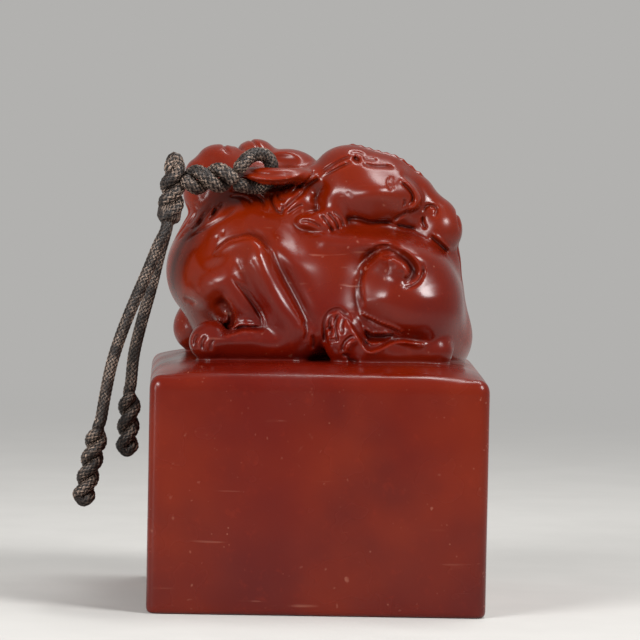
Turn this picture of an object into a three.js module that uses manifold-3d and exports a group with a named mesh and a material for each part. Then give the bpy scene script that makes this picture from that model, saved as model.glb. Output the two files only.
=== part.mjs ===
import * as THREE from 'three';
import Module from 'manifold-3d';
import { mergeVertices } from 'three/addons/utils/BufferGeometryUtils.js';

// A square seal stamp of polished red stone with a mother beast and her cub carved on top,
// and a doubled braided cord through an eye under the mother's ear.
// Millimetres, +Z up, origin at the middle of the printing face, the beast's head towards -X.

// Block
const blockSide = 50;
const blockHeight = 35.4;
const blockCornerRadius = 1.8;
const blockRimRadius = 0.9;
const footChamfer = 0.35;
const cornerSteps = 5;
const rimSteps = 3;

// Carved ground under the beasts: a low mound with a sloping apron
const groundRise = 1.4;
const apronWidth = 7.5;
const groundCornerRadius = 6;

// Printing face: a border, a ring and a rosette left standing proud
const printDepth = 0.8;
const printMargin = 1.6;
const printBorder = 2.2;
const printCornerRadius = 0.8;
const printRingRadius = 14;
const printRingWidth = 1.8;
const petalCount = 8;
const petalStart = 3.5;
const petalLength = 7.4;
const petalGap = 0.9;
const rosetteCore = 2.6;
const printSteps = 32;

// Cord
const cordDiameter = 2;
const cordClearance = 0.4;
const cordSides = 8;
const eyeRadius = cordDiameter / 2 + cordClearance;

// Wound knots of the cord: sides of the tube and steps in one turn
const windingSides = 6;
const windingSteps = 24;

// Carving: the side of the block it is drawn for, how deep its roots go into the block,
// and how finely it is sampled and kept
const drawnSide = 50;
const rootDepth = 0.8;
const carvingStep = 0.6;
const carvingTriangles = 11600;

// Colours of the stone and the cord
const stoneFinish = { color: 0x7d1f12, roughness: 0.22, metalness: 0 };
const cordFinish = { color: 0x3a2a24, roughness: 0.7, metalness: 0 };

const wasm = await Module();
wasm.setup();

// Places on the carving and along the cord are given as X, Y and the height above the block's
// rim, for a block of the drawn side. The beasts fill the top of a larger or smaller block.
const carvingScale = blockSide / drawnSide;

function onBlock([x, y, height]) {
  return [x * carvingScale, y * carvingScale, blockHeight + height * carvingScale];
}

// Rounded masses of the mother: centre, half sizes, softness of the join in millimetres
const motherMasses = [
  { name: 'torso', at: [0.6, 0.4, 12], half: [19, 15.4, 11.4], join: 3 },
  { name: 'belly', at: [0, -1.6, 8.4], half: [13.6, 14.6, 8.6], join: 3 },
  { name: 'chest', at: [-13.4, 0.3, 14.2], half: [9.5, 11.6, 9], join: 3 },
  { name: 'brisket', at: [-11.6, 0.4, 6.6], half: [7.4, 10.6, 6.6], join: 2.4 },
  { name: 'withers', at: [-9.4, 0, 19.5], half: [9.2, 10.4, 6.6], join: 3 },
  { name: 'rump', at: [12.6, 0.5, 10.6], half: [9.6, 14.2, 9.8], join: 3 },
  { name: 'seat', at: [14.2, 0.5, 4.6], half: [9.4, 14.8, 7.8], join: 2.4 },
  { name: 'near haunch', at: [13.2, -8.6, 9.8], half: [8.3, 9.2, 8.8], join: 2.2 },
  { name: 'far haunch', at: [13.2, 8.9, 9.8], half: [8.3, 8.8, 8.8], join: 2.2 },
  { name: 'near foot fan', at: [3.9, -14.8, 4.9], half: [3.3, 2.6, 4], join: 0.8 },
  { name: 'far foot fan', at: [3.9, 15.2, 4.7], half: [3.3, 2.4, 3.8], join: 0.8 },
  { name: 'near paw', at: [-15.8, -13.6, 3.9], half: [3.5, 3.4, 2.9], join: 0.7 },
  { name: 'far paw', at: [-17.9, 6.8, 4.8], half: [3.8, 4.2, 3.8], join: 0.7 },
  { name: 'tail root', at: [18, -1.6, 16.6], half: [3.3, 4.4, 4.6], join: 1.8 },
  { name: 'tail curl', at: [17.7, -4, 20.9], half: [3.8, 4.2, 4], join: 0.9 },
  { name: 'mane slope', at: [-3.2, -2.4, 24.2], half: [4.4, 6, 4.2], join: 2 },
];

// Limbs of the mother: two ends with a radius each
const motherLimbs = [
  { name: 'near upper arm', from: [-10, -9.4, 14.4], to: [-3.8, -12.4, 5.4], radii: [6.2, 4.2], join: 1.8 },
  { name: 'near forearm', from: [-4.6, -12.9, 4.3], to: [-13.6, -13.8, 3.7], radii: [3.4, 2.7], join: 0.7 },
  {
    name: 'near brisket fold', from: [-13.6, -8.4, 11.6], to: [-11, -11.2, 5.4],
    radii: [3.6, 2.7], join: 1.2,
  },
  { name: 'far upper arm', from: [-10.4, 9.6, 14.2], to: [-5, 12.6, 5.4], radii: [6, 4.2], join: 1.8 },
  { name: 'far forearm', from: [-5.4, 13, 4.4], to: [-16, 9, 4.2], radii: [3.5, 2.9], join: 0.7 },
  { name: 'near hind foot', from: [17, -12.4, 3.2], to: [6.6, -15, 2.7], radii: [3, 2.1], join: 0.7 },
  { name: 'far hind foot', from: [17, 12.8, 3.2], to: [6.6, 15.4, 2.7], radii: [3, 2.1], join: 0.7 },
  { name: 'neck', from: [-11.6, 0.6, 19], to: [-11.4, 2, 25], radii: [8.4, 7], join: 2.6 },
];

// The head looks away over the far side
const headMasses = [
  { name: 'skull', at: [-11.6, 3, 26.2], half: [7.8, 7.4, 5.6], join: 2 },
  { name: 'left brow', at: [-15.5, 2.4, 30.4], half: [3.1, 3.6, 2.5], join: 0.9 },
  { name: 'right brow', at: [-9.5, 3.2, 31.1], half: [2.9, 3.8, 2.7], join: 0.9 },
  { name: 'left cheek', at: [-17.6, 1.4, 28.4], half: [2.8, 3.4, 2.7], join: 0.8 },
  { name: 'crown slope', at: [-5, 0.6, 28.5], half: [5.4, 5.2, 4], join: 1.4 },
  { name: 'muzzle', at: [-12.6, 10.6, 25.2], half: [4.6, 4.8, 3.7], join: 1.4 },
  { name: 'nose', at: [-12.9, 14.2, 27.2], half: [2.3, 1.9, 1.7], join: 0.9 },
  { name: 'left nostril wing', at: [-15, 13.2, 26.4], half: [1.4, 1.5, 1.3], join: 0.6 },
  { name: 'right nostril wing', at: [-10.8, 13.6, 26.4], half: [1.4, 1.5, 1.3], join: 0.6 },
  { name: 'lower jaw', at: [-12.4, 9.6, 20.9], half: [3.9, 4.4, 1.9], join: 1.2 },
  { name: 'left eye', at: [-15.4, 8, 28.6], half: [1.5, 1.5, 1.4], join: 0.35 },
  { name: 'right eye', at: [-9.4, 8.9, 28.7], half: [1.5, 1.5, 1.4], join: 0.35 },
  { name: 'ear shelf', at: [-6.7, -5.4, 28.6], half: [6.3, 5.4, 1.8], turn: -4, join: 0.5 },
  { name: 'far ear', at: [-18.4, 0.4, 25.6], half: [1.9, 3.6, 2.6], turn: 20, join: 0.6 },
];

const cubMasses = [
  { name: 'cub shoulders', at: [4.6, -3.2, 27.6], half: [6.2, 5.8, 5.2], join: 1.4 },
  { name: 'cub head', at: [4.4, -2.4, 29.8], half: [4.8, 4.4, 3.5], join: 1 },
  { name: 'cub back', at: [9, -2.4, 27.6], half: [5.4, 5, 4.6], join: 1.4 },
  { name: 'cub muzzle', at: [-0.6, -3.6, 27.6], half: [2.9, 3, 2.6], join: 1 },
  { name: 'cub belly', at: [7.4, -4.8, 25.2], half: [7.4, 6, 4.1], join: 1.4 },
  { name: 'cub rump', at: [12.6, -2.6, 24.8], half: [5.2, 5.8, 4.9], join: 1.6 },
  { name: 'cub haunch', at: [11, -5.8, 26], half: [3.6, 3.2, 4], join: 1.2 },
  { name: 'cub paw', at: [-0.2, -8.6, 21.9], half: [3.6, 2.2, 1.5], turn: 3, join: 0.5 },
  { name: 'cub far paw', at: [1, 4.6, 23.2], half: [3.4, 2, 1.6], join: 0.5 },
];

const cubLimbs = [
  { name: 'cub arm', from: [3.2, -5.4, 26.8], to: [1.8, -8.2, 22.6], radii: [3, 1.9], join: 0.9 },
  { name: 'cub far arm', from: [3, 1.6, 28], to: [2, 4.4, 23.6], radii: [2.3, 1.7], join: 0.6 },
];

// Hollows cut back into the masses: centre, half sizes, softness of the rim
const hollows = [
  { name: 'ear dish', at: [-6.6, -6, 31.5], half: [5, 4.2, 2], join: 0.4 },
  { name: 'mouth', at: [-12.6, 15.2, 22.4], half: [3.6, 4.2, 0.8], join: 0.4 },
];

// The cord's way through the stone: down the eye, then out to the left under the ear
const [eyeX, eyeY] = [-7.5, -6.6];
const eyePath = [
  [eyeX, eyeY, 33.4],
  [eyeX, eyeY, 28.2],
  [eyeX - 1.4, eyeY - 0.4, 26.9],
  [eyeX - 3.2, eyeY - 1.4, 26.8],
  [eyeX - 7, eyeY - 3.4, 27.4],
];
const eyeJoin = 0.3;

// Ledges carved square to a flank: the surface stands proud on the left of the way the points
// run and is cut down on the right, each fading over its own reach across a step this soft
const flankLedges = [
  {
    name: 'back of the arm', rise: 0.6, drop: 0.9, proudReach: 2.4, cutReach: 2.6, soft: 0.8,
    points: [
      [-1.6, 5], [-3.1, 7.8], [-4.8, 11.1], [-5.9, 13.5], [-7.1, 16], [-8, 18.5], [-9.8, 19.9], [-12.4, 19.6],
    ],
  },
  {
    name: 'front of the haunch', rise: 0.6, drop: 0.8, proudReach: 3, cutReach: 2.4, soft: 0.7,
    points: [[12.2, 17.6], [9.6, 17.9], [7.6, 17.1], [6.2, 15.3], [5.8, 13], [6, 10.6], [6.8, 8.2]],
  },
  {
    name: 'foot ridge', rise: 0.4, drop: 0.8, proudReach: 1.2, cutReach: 1.7, soft: 0.5,
    points: [
      [16.9, 4.7], [13.9, 4.6], [11.9, 4.7], [9.7, 4.1], [7.9, 3.6], [6.5, 4.8], [5.4, 6.5], [4.2, 8.6],
    ],
  },
];

// Grooves carved square to a flank, and ridges where the depth is less than nothing
const flankGrooves = [
  {
    name: 'shoulder arch', width: 0.65, depth: 0.7,
    points: [
      [-16.2, 17], [-14.7, 18.3], [-13.2, 19.2], [-11.7, 19.7],
      [-10.2, 19.8], [-9, 19.3], [-8.1, 18.4],
    ],
  },
  {
    name: 'arm ridge', width: 1.3, depth: -0.5,
    points: [[-10.2, 18.2], [-10, 16.6], [-9.4, 14.4], [-8, 11.7], [-6.5, 9.5], [-5.4, 7.3]],
  },
  {
    name: 'arm fold', width: 0.8, depth: 0.8,
    points: [[-12.8, 12.7], [-11.2, 10.9], [-9.7, 9], [-8.8, 7.7], [-8.8, 6.4]],
  },
  {
    name: 'forearm ridge', width: 0.9, depth: -0.5,
    points: [[-13.9, 11.1], [-12.5, 10.4], [-11.5, 9.2], [-11.2, 7.6], [-11.6, 6.6]],
  },
  {
    name: 'forearm crease', width: 0.65, depth: 0.7,
    points: [[-14.6, 5.2], [-13.1, 5.9], [-11.8, 6.1], [-10.5, 6], [-8.4, 5.8]],
  },
  {
    name: 'haunch spiral', width: 0.85, depth: 1,
    points: [[12, 14.4], [13, 14.7], [13.5, 15.8], [12.6, 17], [10.8, 17.6], [8.8, 17.3], [7, 16]],
  },
  {
    name: 'haunch second line', width: 0.55, depth: 0.4,
    points: [[14.8, 16.6], [15.1, 15.3], [14.5, 14], [13.2, 13.2]],
  },
];

const cubLedges = [
  {
    name: 'cub haunch line', rise: 0.5, drop: 0.6, proudReach: 1.6, cutReach: 1.3, soft: 0.5,
    points: [
      [12.6, 24.1], [13.4, 23.8], [14.4, 24.2], [14.9, 25.6],
      [14.5, 26.8], [13.3, 27.9], [11.6, 29.1],
    ],
  },
];

const cubGrooves = [
  { name: 'cub ear line', width: 0.5, depth: 0.5, points: [[1.6, 30.6], [2.9, 31.3], [4.8, 31.8]] },
  { name: 'cub eye', width: 0.6, depth: 0.8, points: [[5.3, 31.4], [5.8, 31.1]] },
  {
    name: 'cub cheek line', width: 0.5, depth: 0.5,
    points: [[6.2, 30.9], [7, 30.3], [8.8, 30.4], [10, 30.8]],
  },
  {
    name: 'under the ear', width: 0.6, depth: 0.5,
    points: [[-11, 27.6], [-9, 27.1], [-6.2, 26.8], [-3.4, 27.1]],
  },
];

function square(value) {
  return value * value;
}

// Signed distance to a rounded mass, near enough for blending
function massDistance(mass, x, y, z) {
  const dx = x - mass.at[0];
  const dy = y - mass.at[1];
  const u = (dx * mass.cos + dy * mass.sin) / mass.half[0];
  const v = (dy * mass.cos - dx * mass.sin) / mass.half[1];
  const w = (z - mass.at[2]) / mass.half[2];
  const reach = Math.sqrt(u * u + v * v + w * w);
  const slope = Math.sqrt(square(u / mass.half[0]) + square(v / mass.half[1]) + square(w / mass.half[2]));
  return slope < 1e-9 ? -Math.min(...mass.half) : reach * (reach - 1) / slope;
}

// Signed distance to a limb that tapers from one radius to the other
function limbDistance(limb, x, y, z) {
  const px = x - limb.from[0];
  const py = y - limb.from[1];
  const pz = z - limb.from[2];
  const along = (px * limb.run[0] + py * limb.run[1] + pz * limb.run[2]) / limb.runSquared;
  const t = Math.min(Math.max(along, 0), 1);
  const off = Math.hypot(px - t * limb.run[0], py - t * limb.run[1], pz - t * limb.run[2]);
  return off - (limb.radii[0] + t * (limb.radii[1] - limb.radii[0]));
}

function smoothUnion(a, b, softness) {
  const overlap = Math.max(softness - Math.abs(a - b), 0);
  return Math.min(a, b) - overlap * overlap / (4 * softness);
}

function smoothCut(body, hollow, softness) {
  return -smoothUnion(-body, hollow, softness);
}

function prepareMass(mass) {
  const turn = THREE.MathUtils.degToRad(mass.turn ?? 0);
  return { ...mass, cos: Math.cos(turn), sin: Math.sin(turn), reach: Math.max(...mass.half) };
}

function prepareLimb(limb) {
  const run = limb.to.map((value, axis) => value - limb.from[axis]);
  return { ...limb, run, runSquared: run[0] ** 2 + run[1] ** 2 + run[2] ** 2 };
}

// A carved line becomes short straight runs along a smooth curve through its points
function prepareLine(line) {
  const guide = new THREE.CatmullRomCurve3(line.points.map(([x, z]) => new THREE.Vector3(x, 0, z)));
  const runs = guide.getPoints(line.points.length * 4).map((point) => [point.x, point.z]);
  const xs = runs.map((point) => point[0]);
  const zs = runs.map((point) => point[1]);
  const margin = 2.2 * Math.max(line.width ?? 0, line.proudReach ?? 0, line.cutReach ?? 0);
  return {
    ...line,
    runs,
    low: [Math.min(...xs) - margin, Math.min(...zs) - margin],
    high: [Math.max(...xs) + margin, Math.max(...zs) + margin],
  };
}

// Nearest place on a carved line: its squared distance, the side it is seen from, how far along
function nearestOnLine(line, x, z) {
  let nearest = { gap: Infinity, side: 1, along: 0 };
  for (let i = 1; i < line.runs.length; i += 1) {
    const [ax, az] = line.runs[i - 1];
    const [ux, uz] = [line.runs[i][0] - ax, line.runs[i][1] - az];
    const t = Math.min(Math.max(((x - ax) * ux + (z - az) * uz) / (ux * ux + uz * uz), 0), 1);
    const gap = square(x - ax - t * ux) + square(z - az - t * uz);
    if (gap < nearest.gap) {
      const side = Math.sign(ux * (z - az) - uz * (x - ax));
      nearest = { gap, side, along: (i - 1 + t) / (line.runs.length - 1) };
    }
  }
  return nearest;
}

// How far a carved line moves the surface at a place on the flank
function lineOffset(line, x, z) {
  if (x < line.low[0] || x > line.high[0] || z < line.low[1] || z > line.high[1]) {
    return 0;
  }
  const { gap, side, along } = nearestOnLine(line, x, z);
  const fade = Math.min(1, 6 * along, 6 * (1 - along));
  if (line.depth) {
    return line.depth * (0.3 + 0.7 * fade) * Math.exp(-gap / square(line.width));
  }
  const proud = 0.5 + 0.5 * Math.tanh(side * Math.sqrt(gap) / line.soft);
  const cut = (1 - proud) * line.drop * Math.exp(-gap / square(line.cutReach));
  return fade * (cut - proud * line.rise * Math.exp(-gap / square(line.proudReach)));
}

const masses = [...motherMasses, ...headMasses, ...cubMasses].map(prepareMass);
const limbs = [...motherLimbs, ...cubLimbs].map(prepareLimb);
const hollowCuts = hollows.map(prepareMass);
const farLines = [...flankLedges, ...flankGrooves].map(prepareLine);
const nearLines = [...farLines, ...[...cubLedges, ...cubGrooves].map(prepareLine)];
const eyeRuns = eyePath.slice(1).map((point, i) => prepareLimb({
  from: eyePath[i],
  to: point,
  radii: [eyeRadius / carvingScale, eyeRadius / carvingScale],
  join: eyeJoin,
}));

// Half width of the strip along the back that no flank line reaches
const backStrip = 2;
// Distance beyond which only the masses count
const carvedSkin = 3;

// Signed distance to the whole carving at a place above the block's rim
function carving(x, y, z) {
  let body = blockSide;
  for (const mass of masses) {
    const far = Math.hypot(x - mass.at[0], y - mass.at[1], z - mass.at[2]) - mass.reach;
    if (far < body + mass.join) {
      body = smoothUnion(body, massDistance(mass, x, y, z), mass.join);
    }
  }
  for (const limb of limbs) {
    body = smoothUnion(body, limbDistance(limb, x, y, z), limb.join);
  }
  if (body > carvedSkin) {
    return body;
  }
  const lines = y < 0 ? nearLines : farLines;
  if (Math.abs(y) > backStrip) {
    for (const line of lines) {
      body += lineOffset(line, x, z);
    }
  }
  for (const cut of hollowCuts) {
    body = smoothCut(body, massDistance(cut, x, y, z), cut.join);
  }
  for (const run of eyeRuns) {
    body = smoothCut(body, limbDistance(run, x, y, z), run.join);
  }
  return body;
}

// The six tetrahedra that share a grid cell's long diagonal, by the cell's corners: there is one
// for each order in which the way along the cell's edges can turn to X, Y and Z
function splitCell() {
  const tetrahedra = [];
  for (let first = 0; first < 3; first += 1) {
    for (let second = 0; second < 3; second += 1) {
      if (second !== first) {
        const turn = 1 << first;
        tetrahedra.push([0, turn, turn | (1 << second), 7]);
      }
    }
  }
  return tetrahedra;
}

const cellTetrahedra = splitCell();

// How near to a grid point a crossing may lie, as a share of the edge
const leastCrossing = 0.08;

function facetNormal(p, q, r) {
  const u = [q[0] - p[0], q[1] - p[1], q[2] - p[2]];
  const v = [r[0] - p[0], r[1] - p[1], r[2] - p[2]];
  return [u[1] * v[2] - u[2] * v[1], u[2] * v[0] - u[0] * v[2], u[0] * v[1] - u[1] * v[0]];
}

// Surface of a signed distance field, gathered cell by cell as shared points and triangles
class FieldSurface {
  constructor(field, low, high, step) {
    this.low = low;
    this.step = step;
    this.count = low.map((value, axis) => Math.ceil((high[axis] - value) / step) + 1);
    this.values = new Float64Array(this.count[0] * this.count[1] * this.count[2]);
    this.points = [];
    this.triangles = [];
    this.shared = new Map();
    this.eachCell(0, (i, j, k) => {
      this.values[this.index(i, j, k)] = field(...this.place(i, j, k));
    });
    this.eachCell(1, (i, j, k) => this.addCell(i, j, k));
  }

  index(i, j, k) {
    return i + this.count[0] * (j + this.count[1] * k);
  }

  place(...cell) {
    return cell.map((value, axis) => this.low[axis] + value * this.step);
  }

  eachCell(inset, visit) {
    for (let k = 0; k + inset < this.count[2]; k += 1) {
      for (let j = 0; j + inset < this.count[1]; j += 1) {
        for (let i = 0; i + inset < this.count[0]; i += 1) {
          visit(i, j, k);
        }
      }
    }
  }

  addCell(i, j, k) {
    const corners = [];
    let inside = 0;
    for (let c = 0; c < 8; c += 1) {
      const cell = [i + (c & 1), j + ((c >> 1) & 1), k + (c >> 2)];
      const id = this.index(...cell);
      const value = this.values[id];
      corners.push({ id, value, cell });
      inside += value < 0 ? 1 : 0;
    }
    if (inside > 0 && inside < 8) {
      for (const tetrahedron of cellTetrahedra) {
        this.addTetrahedron(tetrahedron.map((c) => corners[c]));
      }
    }
  }

  addTetrahedron(corners) {
    const inside = corners.filter((corner) => corner.value < 0);
    const outside = corners.filter((corner) => corner.value >= 0);
    if (inside.length === 1) {
      this.addFacet(outside.map((corner) => this.crossing(inside[0], corner)), inside[0], outside[0]);
    }
    if (inside.length === 3) {
      this.addFacet(inside.map((corner) => this.crossing(corner, outside[0])), inside[0], outside[0]);
    }
    if (inside.length === 2) {
      const [a, b] = inside;
      const [c, d] = outside;
      this.addFacet([this.crossing(a, c), this.crossing(a, d), this.crossing(b, d)], a, c);
      this.addFacet([this.crossing(a, c), this.crossing(b, d), this.crossing(b, c)], a, c);
    }
  }

  // Number of the shared point where the surface crosses an edge
  crossing(a, b) {
    const [p, q] = a.id < b.id ? [a, b] : [b, a];
    const key = `${p.id},${q.id}`;
    if (!this.shared.has(key)) {
      const exact = p.value / (p.value - q.value);
      const t = Math.min(Math.max(exact, leastCrossing), 1 - leastCrossing);
      const end = this.place(...q.cell);
      this.shared.set(key, this.points.length);
      this.points.push(this.place(...p.cell).map((value, axis) => value + t * (end[axis] - value)));
    }
    return this.shared.get(key);
  }

  addFacet(corners, inside, outside) {
    const normal = facetNormal(...corners.map((corner) => this.points[corner]));
    const out = outside.cell.map((value, axis) => value - inside.cell[axis]);
    const facing = normal[0] * out[0] + normal[1] * out[1] + normal[2] * out[2];
    this.triangles.push(facing > 0 ? corners : [corners[0], corners[2], corners[1]]);
  }
}

// Edges waiting to be collapsed, cheapest first
class EdgeQueue {
  constructor() {
    this.items = [];
  }

  push(item) {
    const { items } = this;
    let at = items.push(item) - 1;
    while (at > 0) {
      const parent = (at - 1) >> 1;
      if (items[parent].cost <= item.cost) {
        break;
      }
      items[at] = items[parent];
      at = parent;
    }
    items[at] = item;
  }

  pop() {
    const { items } = this;
    const top = items[0];
    const last = items.pop();
    if (items.length === 0) {
      return top;
    }
    let at = 0;
    let child = 1;
    while (child < items.length) {
      if (child + 1 < items.length && items[child + 1].cost < items[child].cost) {
        child += 1;
      }
      if (items[child].cost >= last.cost) {
        break;
      }
      items[at] = items[child];
      at = child;
      child = 2 * at + 1;
    }
    items[at] = last;
    return top;
  }
}

// Adds a plane's squared distance, as the ten numbers of a symmetric form
function addPlane(form, normal, point, weight) {
  const [a, b, c] = normal;
  const d = -(a * point[0] + b * point[1] + c * point[2]);
  const terms = [a * a, a * b, a * c, a * d, b * b, b * c, b * d, c * c, c * d, d * d];
  terms.forEach((term, i) => {
    form[i] += weight * term;
  });
}

function formCost(form, [x, y, z]) {
  const squares = form[0] * x * x + form[4] * y * y + form[7] * z * z + form[9];
  const products = form[1] * x * y + form[2] * x * z + form[5] * y * z;
  return squares + 2 * products + 2 * (form[3] * x + form[6] * y + form[8] * z);
}

// Place where a form is least, held gently to the edge's middle
function leastPlace(form, middle, hold) {
  const [a, b, c] = [form[0] + hold, form[1], form[2]];
  const [e, f, g] = [form[4] + hold, form[5], form[7] + hold];
  const right = [hold * middle[0] - form[3], hold * middle[1] - form[6], hold * middle[2] - form[8]];
  const m = [e * g - f * f, c * f - b * g, b * f - c * e, a * g - c * c, b * c - a * f, a * e - b * b];
  const determinant = a * m[0] + b * m[1] + c * m[2];
  if (Math.abs(determinant) < 1e-12) {
    return middle;
  }
  return [
    (m[0] * right[0] + m[1] * right[1] + m[2] * right[2]) / determinant,
    (m[1] * right[0] + m[3] * right[1] + m[4] * right[2]) / determinant,
    (m[2] * right[0] + m[4] * right[1] + m[5] * right[2]) / determinant,
  ];
}

// Collapses the cheapest edges: few triangles where the surface is plain, many where it is carved
class Simplifier {
  constructor({ points, triangles }) {
    this.points = points.map((point) => [...point]);
    this.triangles = triangles.map((corners) => [...corners]);
    this.alive = triangles.map(() => true);
    this.around = points.map(() => new Set());
    this.forms = points.map(() => new Float64Array(10));
    this.stamps = points.map(() => 0);
    this.queue = new EdgeQueue();
    this.triangles.forEach((corners, face) => this.addFace(corners, face));
    points.forEach((_, corner) => {
      for (const other of this.neighbours(corner)) {
        if (other > corner) {
          this.offer(corner, other);
        }
      }
    });
  }

  addFace(corners, face) {
    const normal = facetNormal(...corners.map((corner) => this.points[corner]));
    const size = Math.hypot(...normal) || 1e-12;
    const unit = normal.map((value) => value / size);
    for (const corner of corners) {
      this.around[corner].add(face);
      addPlane(this.forms[corner], unit, this.points[corner], size / 2);
    }
  }

  neighbours(corner) {
    const found = new Set();
    for (const face of this.around[corner]) {
      this.triangles[face].forEach((other) => found.add(other));
    }
    found.delete(corner);
    return found;
  }

  offer(a, b) {
    const [from, to] = [this.points[a], this.points[b]];
    const form = this.forms[a].map((value, i) => value + this.forms[b][i]);
    const middle = from.map((value, axis) => (value + to[axis]) / 2);
    const place = leastPlace(form, middle, 0.002);
    const length = Math.hypot(to[0] - from[0], to[1] - from[1], to[2] - from[2]);
    const cost = formCost(form, place) + 0.0004 * length * length;
    this.queue.push({ cost, a, b, place, stamps: [this.stamps[a], this.stamps[b]] });
  }

  // Whether the facets round a corner keep their facing and some width when it moves
  holdsShape(corner, other, place) {
    for (const face of this.around[corner]) {
      const corners = this.triangles[face];
      if (!corners.includes(other)) {
        const before = facetNormal(...corners.map((c) => this.points[c]));
        const after = facetNormal(...corners.map((c) => (c === corner ? place : this.points[c])));
        const sizes = Math.hypot(...before) * Math.hypot(...after);
        const turned = before[0] * after[0] + before[1] * after[1] + before[2] * after[2];
        const spans = corners.map((c) => this.points[c].map((value, axis) => value - place[axis]));
        const longest = Math.max(...spans.map((span) => Math.hypot(...span)));
        if (turned < 0.45 * sizes || Math.hypot(...after) < 0.05 * longest * longest) {
          return false;
        }
      }
    }
    return true;
  }

  // Moves corner a to its new place and gives it the facets of corner b
  collapse(a, b, place) {
    this.points[a] = place;
    this.forms[a] = this.forms[a].map((value, i) => value + this.forms[b][i]);
    for (const face of [...this.around[b]]) {
      const corners = this.triangles[face];
      if (corners.includes(a)) {
        this.alive[face] = false;
        corners.forEach((corner) => this.around[corner].delete(face));
      } else {
        corners[corners.indexOf(b)] = a;
        this.around[a].add(face);
      }
    }
    this.around[b].clear();
    this.stamps[a] += 1;
    this.stamps[b] = -1;
    for (const other of this.neighbours(a)) {
      this.offer(a, other);
    }
  }

  reduce(wanted) {
    let left = this.triangles.length;
    while (left > wanted && this.queue.items.length > 0) {
      const { a, b, place, stamps } = this.queue.pop();
      if (stamps[0] === this.stamps[a] && stamps[1] === this.stamps[b]) {
        const beside = this.neighbours(a);
        const common = [...this.neighbours(b)].filter((corner) => beside.has(corner));
        if (common.length === 2 && this.holdsShape(a, b, place) && this.holdsShape(b, a, place)) {
          this.collapse(a, b, place);
          left -= 2;
        }
      }
    }
    return { points: this.points, triangles: this.triangles.filter((_, face) => this.alive[face]) };
  }
}

// A closed mesh of shared points as a solid
function solidOf(points, triangles) {
  const vertProperties = new Float32Array(points.flat());
  const triVerts = new Uint32Array(triangles.flat());
  return new wasm.Manifold(new wasm.Mesh({ numProp: 3, vertProperties, triVerts }));
}

function solidOfGeometry(geometry) {
  const plain = geometry.clone();
  plain.deleteAttribute('normal');
  plain.deleteAttribute('uv');
  const merged = mergeVertices(plain, 1e-4);
  const vertProperties = new Float32Array(merged.attributes.position.array);
  const triVerts = new Uint32Array(merged.index.array);
  return new wasm.Manifold(new wasm.Mesh({ numProp: 3, vertProperties, triVerts }));
}

function geometryOf(solid) {
  const mesh = solid.getMesh();
  const geometry = new THREE.BufferGeometry();
  const position = new Float32Array(mesh.numVert * 3);
  for (let i = 0; i < mesh.numVert; i += 1) {
    for (let axis = 0; axis < 3; axis += 1) {
      position[3 * i + axis] = mesh.vertProperties[mesh.numProp * i + axis];
    }
  }
  geometry.setAttribute('position', new THREE.BufferAttribute(position, 3));
  geometry.setIndex(new THREE.BufferAttribute(new Uint32Array(mesh.triVerts), 1));
  geometry.computeVertexNormals();
  return geometry;
}

// Corners of a square with round corners, counter-clockwise from the +X side
function roundedSquare(half, radius) {
  const outline = [];
  const quarters = [[1, 1], [-1, 1], [-1, -1], [1, -1]];
  quarters.forEach(([signX, signY], corner) => {
    for (let i = 0; i <= cornerSteps; i += 1) {
      const angle = (corner + i / cornerSteps) * Math.PI / 2;
      outline.push([
        signX * (half - radius) + radius * Math.cos(angle),
        signY * (half - radius) + radius * Math.sin(angle),
      ]);
    }
  });
  return outline;
}

// Levels of the block from the printing face up: half side, corner radius and height
function blockSections() {
  const half = blockSide / 2;
  const sections = [
    { half: half - footChamfer, radius: blockCornerRadius, z: 0 },
    { half, radius: blockCornerRadius, z: footChamfer },
  ];
  const rimTurn = THREE.MathUtils.degToRad(78);
  for (let i = 0; i <= rimSteps; i += 1) {
    const angle = i / rimSteps * rimTurn;
    sections.push({
      half: half - blockRimRadius * (1 - Math.cos(angle)),
      radius: blockCornerRadius,
      z: blockHeight - blockRimRadius * (1 - Math.sin(angle)),
    });
  }
  const shoulder = { inset: 0.62, radius: 0.8, rise: 0.72 };
  sections.push({
    half: half - apronWidth * shoulder.inset,
    radius: groundCornerRadius * shoulder.radius,
    z: blockHeight + groundRise * shoulder.rise,
  });
  sections.push({ half: half - apronWidth, radius: groundCornerRadius, z: blockHeight + groundRise });
  return sections;
}

// The block with its rounded rim and the low mound of carved ground, lofted through its levels
function blockSolid() {
  const sections = blockSections();
  const ring = 4 * (cornerSteps + 1);
  const points = [];
  const triangles = [];
  for (const section of sections) {
    for (const [x, y] of roundedSquare(section.half, section.radius)) {
      points.push([x, y, section.z]);
    }
  }
  for (let level = 0; level + 1 < sections.length; level += 1) {
    for (let i = 0; i < ring; i += 1) {
      const a = level * ring + i;
      const b = level * ring + (i + 1) % ring;
      triangles.push([a, b, b + ring], [a, b + ring, a + ring]);
    }
  }
  const top = (sections.length - 1) * ring;
  for (let i = 1; i + 1 < ring; i += 1) {
    triangles.push([0, i + 1, i], [top, top + i, top + i + 1]);
  }
  return solidOf(points, triangles);
}

function circlePoints(radius, steps) {
  return Array.from({ length: steps }, (_, i) => {
    const angle = 2 * Math.PI * i / steps;
    return new THREE.Vector2(radius * Math.cos(angle), radius * Math.sin(angle));
  });
}

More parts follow.
